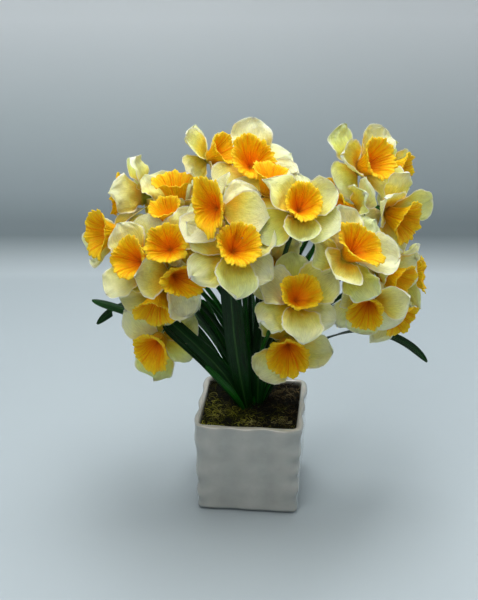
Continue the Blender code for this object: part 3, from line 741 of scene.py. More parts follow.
# How folds and creases wander round and up a cup: how far, how tightly and in which layer of the random
# field, and how far and how often they sway on the way up
Wander = namedtuple("Wander", "far tightness layer sway turns")
FOLD_WANDER = Wander(3.2, 0.9, 0, 0.5, 2)
CREASE_WANDER = Wander(6.0, 1.8, 2, 0.9, 5)

# Uneven shape round a cup: how much, how tight, in which layer, and how much it changes on the way up
Ripple = namedtuple("Ripple", "amount tightness layer rising", defaults=(0,))
CREASE_FADE = Ripple(1.2, 3.0, 4, 1)
GATHER = Ripple(1.6, 3.4, 7, 0.4)
STRAY = Ripple(2, 0.8, 5, 0.5)
LIP_HEIGHTS = (Ripple(0.0038, 2.0, 9), Ripple(0.0016, 5.0, 11), Ripple(0.0009, 13.0, 0))
LIP_FLARE = Ripple(0.0013, 8.0, 13)

# How those act on the wall, from 0 at the foot to 1 at the lip
RIDGE_POWER = 2.4
CREASE_SHARE = 0.60
PLEAT_FOLD = 0.5
PLEAT_CREASE = 0.6
FOLD_GATHER = 0.6
GATHER_LOW = 0.30
GATHER_HIGH = 0.6
CREASE_DEPTH = 0.00028
CREASE_GROWTH = 0.00034
STRAY_POWER = 1.5
LIP_FROM = 0.65
LIP_FOLD = 0.0004
LIP_CREASE = 0.0002
ROLL_FROM = 0.86
ROLL_OUT = 0.0010
ROLL_DOWN = 0.0009
CUP_ROW_POWER = 1.3
SEAT_SHARE = 0.5


def draw_ruff(rng, seed):
    return Ruff(
        folds=rng.choice(FOLD_COUNTS),
        depth=rng.uniform(*FOLD_DEPTHS),
        creases=rng.choice(CREASE_COUNTS),
        stray=rng.uniform(*STRAYS),
        seed=seed,
    )


def around_noise(angle, tightness, seed):
    """A soft random value that closes on itself round a cup."""
    return noise.noise(Vector((math.cos(angle) * tightness, math.sin(angle) * tightness, seed)))


def ripple_at(ripple, ruff, angle, up=0.0):
    layer = ruff.seed + ripple.layer + ripple.rising * up
    return ripple.amount * around_noise(angle, ripple.tightness, layer)


def wandered(wander, ruff, angle, up):
    far = wander.far * around_noise(angle, wander.tightness, ruff.seed + wander.layer)
    return far + wander.sway * math.sin(wander.turns * up + ruff.seed)


def cup_profile(up):
    """A cup's radius and height at a share of its wall, with a lip that rolls outwards."""
    lip = CUP_LIP * CUP_SPREAD_OUT
    radius = CUP_FOOT + (lip - CUP_FOOT) * ((1 - CUP_FLARE) * up + CUP_FLARE * up ** 3)
    height = CUP_SEAT + CUP_THICK / 2 + CUP_DEPTH * up * (1 - CUP_DROOP * up * up)
    roll = max(0, (up - ROLL_FROM) / (1 - ROLL_FROM))
    return radius + ROLL_OUT * roll * roll, height - ROLL_DOWN * roll ** 3


def fold_at(ruff, angle, up):
    """The soft folds, from -1 in a valley to 1 on a ridge."""
    return math.cos(ruff.folds * angle + wandered(FOLD_WANDER, ruff, angle, up))


def crease_at(ruff, angle, up):
    """The fine creases between the folds: broad ridges with narrow valleys."""
    wave = math.cos(ruff.creases * angle + wandered(CREASE_WANDER, ruff, angle, up))
    ridge = 1 - 2 * ((1 - wave) / 2) ** RIDGE_POWER
    return ridge * (CREASE_SHARE + ripple_at(CREASE_FADE, ruff, angle, up))


def pleat_at(ruff, angle, up):
    """Where a place lies between valley and ridge, for the finish."""
    return PLEAT_FOLD * fold_at(ruff, angle, up) * up + PLEAT_CREASE * crease_at(ruff, angle, up)


def gathered(up):
    """How wide the cup's inner face is as a share of its wall: it is gathered to a point at the foot."""
    return max(GATHER_LEAST, min(1, up / GATHER_END)) ** GATHER_POWER


def cup_point(bloom, ruff, angle, up, inside):
    """The point on a cup's wall at an angle and a share of its height."""
    radius, height = cup_profile(up)
    fold, crease = fold_at(ruff, angle, up), crease_at(ruff, angle, up)
    gather = FOLD_GATHER * fold + ripple_at(GATHER, ruff, angle, up)
    radius += ruff.depth * (GATHER_LOW * up + GATHER_HIGH * up ** 4) * gather
    radius += (CREASE_DEPTH + CREASE_GROWTH * up) * crease
    radius += ruff.stray * up ** STRAY_POWER * ripple_at(STRAY, ruff, angle, up)
    if inside:
        radius *= gathered(up)
    lip = max(0, (up - LIP_FROM) / (1 - LIP_FROM)) ** 2
    height += lip * (LIP_FOLD * fold + LIP_CREASE * crease)
    height += lip * sum(ripple_at(ripple, ruff, angle) for ripple in LIP_HEIGHTS)
    radius += lip * ripple_at(LIP_FLARE, ruff, angle)
    stretch = 1 + (bloom.oval - 1) * up
    point = Vector((radius * math.cos(angle) * stretch, radius * math.sin(angle) / stretch, height))
    return Matrix.Rotation(-math.radians(bloom.slant), 3, "Z") @ point


def add_cup(form, bloom, place, ruff):
    """A ruffled cup with a wall of even thickness, closed at its foot."""
    ups = [1 - (1 - row / CUP_ROWS) ** CUP_ROW_POWER for row in range(CUP_ROWS + 1)]
    angles = [2 * math.pi * step / CUP_STEPS for step in range(CUP_STEPS)]
    half = CUP_THICK * bloom.size / 2
    layers = []
    for side, inside in ((-1, 0.0), (1, 1.0)):
        wall = [[place @ cup_point(bloom, ruff, angle, up, inside) for angle in angles] for up in ups]
        layer = []
        for up, points, normals in zip(ups, wall, grid_normals(wall, True)):
            line = []
            for angle, point, normal in zip(angles, points, normals):
                pleat = pleat_at(ruff, angle, up)
                line.append(form.add(point + normal * half * side, up=up, pleat=pleat, inside=inside))
            layer.append(line)
        layers.append(layer)
    outer, inner = layers
    for i in range(CUP_ROWS):
        form.span(outer[i], outer[i + 1])
        form.span(inner[i], inner[i + 1], flip=True)
    form.span(outer[-1], inner[-1])
    form.faces.append(tuple(inner[0]))
    radius = CUP_FOOT * SEAT_SHARE
    seat = []
    for angle in angles:
        seat.append(form.add(place @ Vector((radius * math.cos(angle), radius * math.sin(angle), CUP_SEAT))))
    form.span(outer[0], seat, flip=True)
    form.faces.append(tuple(reversed(seat)))


def build_cups(finish, company):
    rng = random.Random(SEED + 4)
    for number, bloom in enumerate(BLOOMS):
        cup = Form("up", "pleat", "inside")
        add_cup(cup, bloom, bloom_frame(bloom), draw_ruff(rng, number * RUFF_SEED_STEP))
        company.add(cup.points, cup.faces)
        place_piece(cup, "pleated_cup_" + bloom.name, finish, "cup_" + bloom.name)


def build_petals(finish, company):
    stance_rng = random.Random(SEED)
    silk_rng = random.Random(SEED + 1)
    changes = stance_changes()
    for number, bloom in enumerate(BLOOMS):
        place = bloom_frame(bloom)
        cad = CadPoints("petals_" + bloom.name)
        petals = Form("along", "across", "rim", "tone")
        add_hub(petals, place)
        for index, stance in enumerate(preferred_stances(bloom, stance_rng)):
            root = tepal_root(index)
            found = packed_stance(place, stance, root, bloom.size, changes, cad)
            silk = draw_silk(silk_rng, index % 2)
            add_petal(petals, place, found, root, silk, number * SILK_SEED_STEP + index, company)
        place_piece(petals, "silk_petals_" + bloom.name, finish, "petals_" + bloom.name)


def build_blooms(silk_finish, cup_finish):
    """The cups first, and then the petals, which give way to the cups and to each other."""
    noise.seed_set(SEED)
    company = Company()
    build_cups(cup_finish, company)
    build_petals(silk_finish, company)


# Stems and leaves

FOOT_SHARE = 0.2
BOW_AT_NECK = 0.5
STEM_MATCH = 1.35
STEM_SLIM = 0.92
STEM_RIDGE = 0.03
POD_SHARES = (0.35, 0.7, 1.0)
POD_SOFTNESS = 0.0055
RIDGES = 5

LEAF_ROW_POWER = 1.7
LEAF_WAVES = (0.0004, 0.0010)
LEAF_WAVE_TURN = 9
LEAF_LOOK = 0.02
LEAF_LEAST = 0.05
LEAF_SOFTNESS = 0.02
LEAF_RIB = 0.00012
LEAF_RIBS = 9
LEAF_THINNING = 0.55

# The moulded foot: where its rings lie as shares of its height, how far it tapers, and its rounded ends
FOOT_SHARES = (0, 0.06, 0.3, 0.6, 0.85, 0.96, 1.0)
FOOT_TAPER = 0.19
FOOT_END = 0.94
FOOT_SIDES = 40
FOOT_RIDGE = 0.015
FOOT_TONE = 0.3


def bezier(points, t):
    """A point of the curve through the first and last points that the others pull on."""
    while len(points) > 1:
        points = [start.lerp(end, t) for start, end in zip(points, points[1:])]
    return points[0]


def stem_foot(heart):
    """Where a stem stands in the bush's foot: nearer the edge if its bloom hangs lower and further out."""
    out = Vector((heart.x, heart.y, 0)) - TRUNK_AT
    slope = out.length / (heart.z - TRUNK_TOP + SLOPE_BASE)
    reach = (TRUNK_RADIUS - STEM_RADIUS) * min(1, FOOT_SHARE + slope * STEM_SPREAD)
    return TRUNK_AT + out.normalized() * reach + Vector((0, 0, TRUNK_TOP - START_DEPTH))


def stem_curve(bloom, bow, neck):
    """A stem's four control points, and the point where it meets its bloom."""
    place = bloom_frame(bloom)
    heart = place.translation
    facing = (place.to_3x3() @ Vector((0, 0, 1))).normalized()
    foot = stem_foot(heart)
    end = heart - facing * ((HUB_LENGTH - HUB_TOP) * bloom.size + GAP)
    rise = (heart.z - foot.z) * STEM_RISE
    first = foot + (Vector((foot.x, foot.y, 0)) - TRUNK_AT) * STEM_SPREAD + Vector((0, 0, rise)) + bow
    pod = end - facing * POD_LENGTH * bloom.size
    second = pod - facing * neck + bow * BOW_AT_NECK
    return [foot, first, second, pod], end


def packed_stem(bloom, cad):
    """The stem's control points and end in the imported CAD: the bow whose stations lie among its points."""
    best = (-1, None)
    for size in STEM_BOWS:
        for step in range(BOW_SIDES if size else 1):
            for neck in NECKS:
                angle = step * 2 * math.pi / BOW_SIDES
                bow = Vector((math.cos(angle), math.sin(angle), 0)) * size
                control, end = stem_curve(bloom, bow, neck)
                matches = 0
                for station in STEM_STATIONS[1:]:
                    if cad.straddles(bezier(control, station), NECK_RADIUS * STEM_MATCH, POINT_TOLERANCE * 2):
                        matches += 1
                if matches > best[0]:
                    best = (matches, (control, end))
    if best[0] < FEWEST_STATIONS:
        print("stem not found again", bloom.name, best[0])
    return best[1]


def ring_round(at, ahead, radius, sides, ridge=0.0, start=AHEAD):
    """A ring of points round a line, with shallow ridges."""
    side = ahead.cross(start).normalized()
    other = ahead.cross(side)
    ring = []
    for step in range(sides):
        angle = 2 * math.pi * step / sides
        out = radius * (1 + ridge * math.cos(angle * RIDGES))
        ring.append(at + side * math.cos(angle) * out + other * math.sin(angle) * out)
    return ring


def add_stem(form, control, end, size, tone):
    """A smooth stem that swells behind its bloom."""
    line = [control[0] - Vector((0, 0, STEM_SUNK))]
    line += [bezier(control, step / STEM_STEPS) for step in range(STEM_STEPS + 1)]
    line += [control[-1].lerp(end, share) for share in POD_SHARES]
    slim = STEM_RADIUS * STEM_SLIM
    rings = []
    for index, at in enumerate(line):
        ahead = (line[min(index + 1, len(line) - 1)] - line[max(index - 1, 0)]).normalized()
        left = sum((b - a).length for a, b in zip(line[index:], line[index + 1:])) / size
        pod = math.exp(-((left - POD_LENGTH) / POD_SOFTNESS) ** 2)
        radius = (slim + (NECK_RADIUS - slim) * pod) * (size if pod > 0.5 else 1)
        rings.append(ring_round(at, ahead, radius, STEM_SIDES, STEM_RIDGE))
    count = len(rings)

    def values(i, j):
        return {"along": (count - 1 - i) / count, "across": 2 * j / STEM_SIDES - 1, "tone": tone}

    add_tube(form, rings[::-1], values)


def leaf_share(row):
    """How far along a leaf a row of its mesh lies: the rows close up towards the round tip."""
    return 1 - (1 - row / LEAF_ROWS) ** LEAF_ROW_POWER


def leaf_across(column):
    return 2 * column / LEAF_COLUMNS - 1


def leaf_grid(leaf, rng):
    """The points of a strap leaf with a fold along its middle, soft waves and a round tip."""
    first, second, tip = (seen_at(*point) for point in (leaf.first, leaf.second, leaf.tip))
    out = (Vector((tip.x, tip.y, 0)) - TRUNK_AT).normalized()
    foot = TRUNK_AT + out * TRUNK_RADIUS * LEAF_START + Vector((0, 0, TRUNK_TOP - START_DEPTH - BASE_SUNK))
    control = [foot, first, second, tip]
    flat = Matrix.Rotation(math.radians(leaf.face), 3, "Z") @ RIGHT
    phase = rng.uniform(*PHASES)
    wave = rng.uniform(*LEAF_WAVES)
    grid = []
    for row in range(LEAF_ROWS + 1):
        share = leaf_share(row)
        at = bezier(control, share)
        ahead = bezier(control, min(1, share + LEAF_LOOK)) - bezier(control, max(0, share - LEAF_LOOK))
        ahead.normalize()
        side = flat if abs(ahead.dot(flat)) < EDGE_ON else AHEAD
        side = (side - ahead * side.dot(ahead)).normalized()
        half = leaf.width / 2000 * (1 + math.sin(math.pi * min(0.5, share))) / 2
        half *= max(LEAF_LEAST, 1 - max(0, (share - LEAF_ROUND) / (1 - LEAF_ROUND)) ** 2) ** 0.5
        up = ahead.cross(side)
        waving = wave * math.sin(LEAF_WAVE_TURN * share + phase) * math.sin(math.pi * share)
        line = []
        for column in range(LEAF_COLUMNS + 1):
            across = leaf_across(column)
            fold = math.sqrt(across * across + LEAF_SOFTNESS) * half * LEAF_FOLD
            rib = LEAF_RIB * math.cos(across * math.pi * LEAF_RIBS)
            ripple = waving * across * abs(across)
            line.append(at + side * across * half + up * (fold + rib + ripple))
        grid.append(line)
    return grid


def add_leaf(form, leaf, rng):
    tone = rng.uniform(0, 1)
    grid = leaf_grid(leaf, rng)

    def thick(j):
        return LEAF_THICK * (1 - LEAF_THINNING * abs(leaf_across(j)) ** 2)

    def values(i, j):
        return {"along": leaf_share(i), "across": leaf_across(j), "tone": tone}

    add_blade(form, grid, thick, values)


def add_foot(form):
    """The foot that the stems and leaves are moulded onto."""
    rings = []
    for share in FOOT_SHARES:
        radius = TRUNK_RADIUS * (1 - FOOT_TAPER * share) * (1 if 0 < share < 1 else FOOT_END)
        at = TRUNK_AT + Vector((0, 0, TRUNK_FOOT + (TRUNK_TOP - FOOT_SUNK - TRUNK_FOOT) * share))
        rings.append(ring_round(at, Vector((0, 0, 1)), radius, FOOT_SIDES, FOOT_RIDGE))
    add_tube(form, rings, lambda i, j: {"tone": FOOT_TONE})


def build_bush(finish):
    rng = random.Random(SEED + 2)
    cad = CadPoints("stems_and_leaves")
    stems = Form("along", "across", "tone")
    add_foot(stems)
    for bloom in BLOOMS:
        control, end = packed_stem(bloom, cad)
        add_stem(stems, control, end, bloom.size, rng.uniform(0, 1))
    place_piece(stems, "moulded_stems", finish, "stems_and_leaves")
    for leaf in LEAVES:
        blade = Form("along", "across", "tone")
        add_leaf(blade, leaf, rng)
        place_piece(blade, "strap_leaf_" + leaf.name, finish, "stems_and_leaves")


# The pot

POT_SIDE_STEPS = 30
POT_CORNER_STEPS = 7
POT_ROWS = 56
POT_RELIEF = 0.0015
GLAZE = 0.0011
THIN_WALL = 0.0052
THIN_DEPTHS = (0.002, 0.008, 0.016)
INNER_HEIGHTS = (FOAM_TOP, 0.040, 0.020, FLOOR + INNER_BEVEL)
FOOT_CORNER = 0.5
FOOT_INSET = 0.0080
FOOT_LIFT = 0.0022
FOOT_WOBBLE = 0.0007
WOBBLE_SCALE = 48

# The round rim: its bead, how far down its inner side the relief fades, and how it sags
RIM_BEAD = 0.0042
RIM_THICK = 0.0050
RIM_STEPS = 12
RIM_ROUNDNESS = 0.8
RIM_FADE = 8
RIM_BAND = 0.004
RIM_SAG = 0.0006
SAG_SCALE = 40

# The quilting: how far its waves wander, how strong they are near the edges and the rim, and its dents
QUILT_SWAY = 0.9
QUILT_SWAY_SCALE = 18
RISING_SWAY = 2.5
DENT_SCALE = 60
EDGE_SHARE = 0.06
EDGE_SHARPNESS = 5
RIM_SHARE = 0.22
RIM_GAIN = 0.6
RIM_FROM = 0.8
RISING_SHARE = 0.9
DENT_SHARE = 0.30
DENT_EDGE_SHARE = 0.5


def square_ring(half, corner):
    """The points of a square with round corners, and each point's outward direction."""
    ring = []
    flat = half - corner
    for side in range(4):
        turn = Matrix.Rotation(math.pi / 2 * side, 3, "Z")
        for step in range(POT_CORNER_STEPS):
            angle = math.pi / 2 * (step / POT_CORNER_STEPS - 1)
            out = Vector((math.cos(angle), math.sin(angle), 0))
            ring.append((turn @ (Vector((flat, -flat, 0)) + out * corner), turn @ out))
        for step in range(POT_SIDE_STEPS):
            along = flat * (2 * step / POT_SIDE_STEPS - 1)
            ring.append((turn @ Vector((half, along, 0)), turn @ Vector((1, 0, 0))))
    return ring


def pot_half(height):
    """Half the pot's width at a height."""
    return (POT_FOOT + (POT_TOP - POT_FOOT) * height / POT_HEIGHT) / 2


def solid_noise(point, height, scale):
    return noise.noise(Vector((point.x * scale, point.y * scale, height * scale)))


def quilting(point, half, height):
    """How far the pot's relief stands out at a point of the outer face: strongest along the upright edges."""
    along = point.y if abs(point.x) > abs(point.y) else point.x
    sway = QUILT_SWAY * solid_noise(point, height, QUILT_SWAY_SCALE)
    across_wave = math.cos(2 * math.pi * WAVES_ACROSS * along / half + sway)
    rising_wave = math.cos(2 * math.pi * WAVES_UP * (2 * height / POT_HEIGHT - 1) + sway * RISING_SWAY)
    near_edge = EDGE_SHARE + (1 - EDGE_SHARE) * abs(along / half) ** EDGE_SHARPNESS
    near_rim = RIM_SHARE + RIM_GAIN * max(0, height / POT_HEIGHT - RIM_FROM) / (1 - RIM_FROM)
    waves = near_rim * across_wave + near_edge * RISING_SHARE * rising_wave
    dents = (DENT_SHARE + near_edge * DENT_EDGE_SHARE) * solid_noise(point, height, DENT_SCALE)
    return POT_RELIEF * (waves + dents)


def pot_profile():
    """The pot's section from its underside's edge round the rim to its floor: inset, height and relief."""
    rows = [
        (FOOT_INSET, 0.0, 0),
        (FOOT_INSET, FOOT_LIFT, 0),
        (FOOT_BEVEL * 0.3, FOOT_LIFT, 0.4),
        (FOOT_BEVEL * 0.06, FOOT_LIFT + 0.0006, 0.8),
        (0, FOOT_BEVEL * 0.8, 0.7),
    ]
    high = POT_HEIGHT - RIM_DEPTH
    for row in range(1, POT_ROWS + 1):
        rows.append((0, FOOT_BEVEL + (high - FOOT_BEVEL) * row / POT_ROWS, 1))
    for step in range(RIM_STEPS + 1):
        angle = math.pi * step / RIM_STEPS
        inset = RIM_THICK / 2 * (1 - math.cos(angle))
        height = POT_HEIGHT - RIM_BEAD * (1 - math.sin(angle) ** RIM_ROUNDNESS)
        rows.append((inset, height, max(0, 1 - step / RIM_FADE)))
    rows += [(THIN_WALL, high - depth, 0) for depth in THIN_DEPTHS]
    rows += [(WALL, height, 0) for height in INNER_HEIGHTS]
    rows.append((WALL + INNER_BEVEL * 0.3, FLOOR + INNER_BEVEL * 0.3, 0))
    rows.append((WALL + INNER_BEVEL, FLOOR, 0))
    return rows


def build_pot(finish):
    form = Form("relief", "rim")
    lines = []
    for inset, height, relief in pot_profile():
        half = pot_half(height) - inset
        corner = POT_CORNER * (FOOT_CORNER + (1 - FOOT_CORNER) * height / POT_HEIGHT)
        edge = max(0, 1 - abs(height - POT_HEIGHT) / RIM_BAND)
        line = []
        for point, out in square_ring(half, max(corner - inset, INNER_CORNER)):
            bump = relief * quilting(point, half, height)
            sag = -RIM_SAG * edge * (1 + noise.noise(point * SAG_SCALE))
            if relief and height < FOOT_BEVEL:
                sag += FOOT_WOBBLE * noise.noise(point * WOBBLE_SCALE)
            place = point + out * (bump + GLAZE * min(1, relief)) + Vector((0, 0, height + sag))
            line.append(form.add(place, relief=bump / POT_RELIEF, rim=edge))
        lines.append(line)
    form.close(lines)
    place_piece(form, "glazed_pot", finish, "pot")


# The moss

MOSS_STRANDS = 3400
MOSS_FLUFF = 0.0015
MOSS_REACH = 0.0450
BACK_RISE = 0.0012
LUMP_DEPTH = 0.0032
FINE_LUMP_DEPTH = 0.0012
BED_STEPS = 112
BED_SHARES = (0, 0.04, 0.1, 0.18, 0.27, 0.37, 0.48, 0.59, 0.7, 0.8, 0.89, 0.96, 1.0)
BED_CORNER = 1.36
BED_CORNER_CUT = 0.75
# The bed's near-black tone is painted shade deep under the strands.
BED_TONE = 0.04
BED_DRY = 0.0

# Noise over the moss: how tight it is, and its own layer of the random field
LUMPS = (75, 3.0)
FINE_LUMPS = (230, 8.0)
LIGHT_PATCHES = (52, 21.0)
DRY_PATCHES = (40, 33.0)

# How light a strand is and how dry: its middle, and what patches, the green side, the back and chance add
# The green side's share of lightness is partly painted highlight on the strands at the front left.
LIGHT_SHARES = (0.06, 0.9, 0.70, 0.16, (-0.34, 0.56))
DRY_SHARES = (0.45, 1.3, -0.8, 0.6, (-0.3, 0.3))

# One strand's ranges, in metres and radians, and its sides and steps
STRAND_SLOPES = (0.0, 1.0)
STRAND_LENGTHS = (0.006, 0.017)
STRAND_CURLS = (-0.9, 0.9)
STRAND_DROOPS = (0.15, 0.45)
STRAND_RADII = (0.00020, 0.00050)
STRAND_TAPER = 0.6
STRAND_SUNK = 0.0008
STRAND_SIDES = 3
STRAND_STEPS = 6
STRAND_SIDE = Vector((0.1, 0.2, 1))


def flat_noise(x, y, scale, layer):
    return noise.noise(Vector((x * scale, y * scale, layer)))


def moss_height(x, y):
    """The top of the moss bed at a place in the pot: heaped round the stems and up along the back."""
    share = min(1, max(abs(x), abs(y)) / MOSS_REACH)
    heap = MOSS_RISE * (1 - share) + BACK_RISE * y / MOSS_REACH
    lumps = LUMP_DEPTH * flat_noise(x, y, *LUMPS)
    return MOSS_EDGE + MOSS_FLUFF + heap + lumps + FINE_LUMP_DEPTH * flat_noise(x, y, *FINE_LUMPS)


def bed_ring(form, share, height=None):
    """A ring of the bed, from the bush's foot at 0 to the pot's wall at 1, at a height or on the moss."""
    if height is None:
        half = pot_half(MOSS_EDGE) - THIN_WALL - GAP
    else:
        half = pot_half(height) - WALL - GAP
    line = []
    for step in range(BED_STEPS):
        angle = 2 * math.pi * step / BED_STEPS
        out = Vector((math.cos(angle), math.sin(angle), 0))
        reach = half / max(abs(out.x), abs(out.y))
        corner = max(0, reach - half * BED_CORNER)
        outer = out * (reach - corner * BED_CORNER_CUT)
        inner = TRUNK_AT + out * (TRUNK_RADIUS + GAP)
        point = inner.lerp(outer, share)
        point.z = moss_height(point.x, point.y) if height is None else height
        line.append(form.add(point, tone=BED_TONE, dry=BED_DRY))
    return line


def build_moss_bed(finish):
    """The matted layer under the loose strands, painted near black for the shade under them, with the hole that
    the bush's foot stands in.
    """
    form = Form("tone", "dry")
    bottom = FOAM_TOP + GAP
    lines = [bed_ring(form, 0, bottom)]
    lines += [bed_ring(form, share) for share in BED_SHARES]
    lines.append(bed_ring(form, 1, bottom))
    for low, high in zip(lines, lines[1:] + lines[:1]):
        for j in range(BED_STEPS):
            k = (j + 1) % BED_STEPS
            form.faces.append((low[j], high[j], high[k], low[k]))
    place_piece(form, "moss_bed", finish, "moss")


def strand_value(shares, patch, green_side, back_side, rng):
    middle, by_patch, by_green, by_back, chance = shares
    value = middle + by_patch * patch + by_green * green_side + by_back * back_side + rng.uniform(*chance)
    return min(1, max(0, value))


def strand_tones(x, y, rng):
    """How light and how dry a strand is: dark for the most part, green and lighter at the front left, tan at
    the back. The extra lightness at the front left is partly painted highlight.
    """
    green_side = max(0, -(x + y) / MOSS_REACH / 2)
    back_side = max(0, (x + y) / MOSS_REACH / 2)
    light = strand_value(LIGHT_SHARES, flat_noise(x, y, *LIGHT_PATCHES), green_side, back_side, rng)
    dry = strand_value(DRY_SHARES, flat_noise(x, y, *DRY_PATCHES), green_side, back_side, rng)
    return light, dry


def add_strand(form, start, rng):
    """One curled strand of dry moss."""
    heading = rng.uniform(0, 2 * math.pi)
    slope = rng.uniform(*STRAND_SLOPES)
    length = rng.uniform(*STRAND_LENGTHS)
    curl = rng.uniform(*STRAND_CURLS)
    droop = rng.uniform(*STRAND_DROOPS)
    radius = rng.uniform(*STRAND_RADII)
    tone, dry = strand_tones(start.x, start.y, rng)
    at = start.copy()
    rings = []
    for step in range(STRAND_STEPS + 1):
        level = math.cos(slope)
        ahead = Vector((math.cos(heading) * level, math.sin(heading) * level, math.sin(slope)))
        thin = 1 - STRAND_TAPER * step / STRAND_STEPS
        rings.append(ring_round(at, ahead, radius * thin, STRAND_SIDES, start=STRAND_SIDE))
        at = at + ahead * length / STRAND_STEPS
        at.x = max(-MOSS_REACH, min(MOSS_REACH, at.x))
        at.y = max(-MOSS_REACH, min(MOSS_REACH, at.y))
        heading += curl
        slope -= droop
    add_tube(form, rings, lambda i, j: {"tone": tone, "dry": dry})


def build_moss_strands(finish):
    rng = random.Random(SEED + 3)
    form = Form("tone", "dry")
    for _ in range(MOSS_STRANDS):
        x, y = rng.uniform(-MOSS_REACH, MOSS_REACH), rng.uniform(-MOSS_REACH, MOSS_REACH)
        add_strand(form, Vector((x, y, moss_height(x, y) - STRAND_SUNK)), rng)
    place_piece(form, "moss_strands", finish, "moss")


# Materials

def colour(red, green, blue):
    """A colour given as it looks on a screen, from 0 to 255, as the linear light that a shader takes."""
    light = []
    for value in (red / 255, green / 255, blue / 255):
        light.append(value / 12.92 if value <= 0.04045 else ((value + 0.055) / 1.055) ** 2.4)
    return (*light, 1)


class Wiring:
    """Shorthand for adding nodes to a material or a node group."""

    def __init__(self, tree):
        self.tree = tree

    def node(self, kind, **settings):
        made = self.tree.nodes.new(kind)
        for key, value in settings.items():
            setattr(made, key, value)
        return made

    def plug(self, socket, value):
        """Links another node's output to the socket, or sets the socket to a number or a colour."""
        if isinstance(value, bpy.types.NodeSocket):
            self.tree.links.new(value, socket)
        else:
            socket.default_value = value

    def feed(self, node, **inputs):
        """Plugs the node's inputs by their names, with _ for a space."""
        for name, value in inputs.items():
            self.plug(node.inputs[name.replace("_", " ")], value)

    def value(self, name):
        """A value that the mesh's points carry."""
        return self.node("ShaderNodeAttribute", attribute_name=name).outputs["Fac"]

    def maths(self, operation, *values):
        made = self.node("ShaderNodeMath", operation=operation)
        for socket, value in zip(made.inputs, values):
            self.plug(socket, value)
        return made.outputs[0]

    def between(self, value, low, high, start=0.0, end=1.0):
        """The value's place between low and high, as a number from start to end."""
        made = self.node("ShaderNodeMapRange", interpolation_type="SMOOTHSTEP")
        self.feed(made, Value=value, From_Min=low, From_Max=high, To_Min=start, To_Max=end)
        return made.outputs["Result"]

    def mix(self, share, first, second, blend="MIX"):
        made = self.node("ShaderNodeMix", data_type="RGBA", blend_type=blend)
        self.plug(made.inputs["Factor"], share)
        self.plug(made.inputs[6], first)
        self.plug(made.inputs[7], second)
        return made.outputs[2]

    def ramp(self, value, *stops):
        """A run of colours, each a place from 0 to 1 and then red, green and blue from 0 to 255."""
        made = self.node("ShaderNodeValToRGB")
        elements = made.color_ramp.elements
        while len(elements) < len(stops):
            elements.new(0.5)
        for element, (position, *shade) in zip(elements, stops):
            element.position = position
            element.color = colour(*shade)
        self.feed(made, Fac=value)
        return made.outputs["Color"]

    def shaded(self, paint, shade):
        """The colour made lighter or darker by a value round 1."""
        grey = self.node("ShaderNodeCombineColor")
        self.feed(grey, Red=shade, Green=shade, Blue=shade)
        return self.mix(1.0, paint, grey.outputs["Color"], "MULTIPLY")

    def noise(self, scale, detail=3.0, roughness=0.5, vector=None):
        place = vector or self.node("ShaderNodeTexCoord").outputs["Object"]
        made = self.node("ShaderNodeTexNoise")
        self.feed(made, Vector=place, Scale=scale, Detail=detail, Roughness=roughness)
        return made.outputs["Fac"]

    def bump(self, height, strength, distance, normal=None):
        made = self.node("ShaderNodeBump")
        self.feed(made, Height=height, Strength=strength, Distance=distance)
        if normal:
            self.feed(made, Normal=normal)
        return made.outputs["Normal"]

    def group(self, name, **inputs):
        made = self.node("ShaderNodeGroup", node_tree=bpy.data.node_groups[name])
        self.feed(made, **inputs)
        return made.outputs[0]

    def mottle(self, scale, amount):
        return self.group("mottle", Scale=scale, Amount=amount)


def new_group(name, output, **inputs):
    """A node group of plain numbers, as the wiring, inputs and output for what goes into it."""
    group = bpy.data.node_groups.new(name, "ShaderNodeTree")
    for socket, start in inputs.items():
        made = group.interface.new_socket(socket, in_out="INPUT", socket_type="NodeSocketFloat")
        made.default_value = start
    group.interface.new_socket(output, in_out="OUTPUT", socket_type="NodeSocketFloat")
    wiring = Wiring(group)
    return wiring, wiring.node("NodeGroupInput").outputs, wiring.node("NodeGroupOutput").inputs[0]


def build_mottle():
    """Soft uneven shade: a value round 1 that changes over the surface."""
    w, given, out = new_group("mottle", "Shade", Scale=40.0, Amount=0.1)
    centred = w.maths("SUBTRACT", w.noise(given["Scale"], 4.0, 0.55), 0.5)
    spread = w.maths("MULTIPLY", centred, w.maths("MULTIPLY", given["Amount"], 3.0))
    w.plug(out, w.maths("ADD", spread, 1.0))


def build_fibres():
    """Fine fibres that run along a piece: a height from the values along and across it."""
    w, given, out = new_group("fibres", "Height", Across=0.0, Along=0.0, Count=60.0)
    joined = w.node("ShaderNodeCombineXYZ")
    w.feed(joined, X=w.maths("MULTIPLY", given["Across"], given["Count"]))
    w.feed(joined, Y=w.maths("MULTIPLY", given["Along"], 6.0))
    w.plug(out, w.noise(1.0, 3.0, 0.6, joined.outputs["Vector"]))


def new_finish(name):
    made = bpy.data.materials.new(name)
    made.use_nodes = True
    return made, Wiring(made.node_tree), made.node_tree.nodes["Principled BSDF"]


def woven(w, normal):
    """The fine weave of silk, on top of its coarser creases."""
    return w.bump(w.noise(2600.0, 2.0), 0.12, 0.0002, normal)


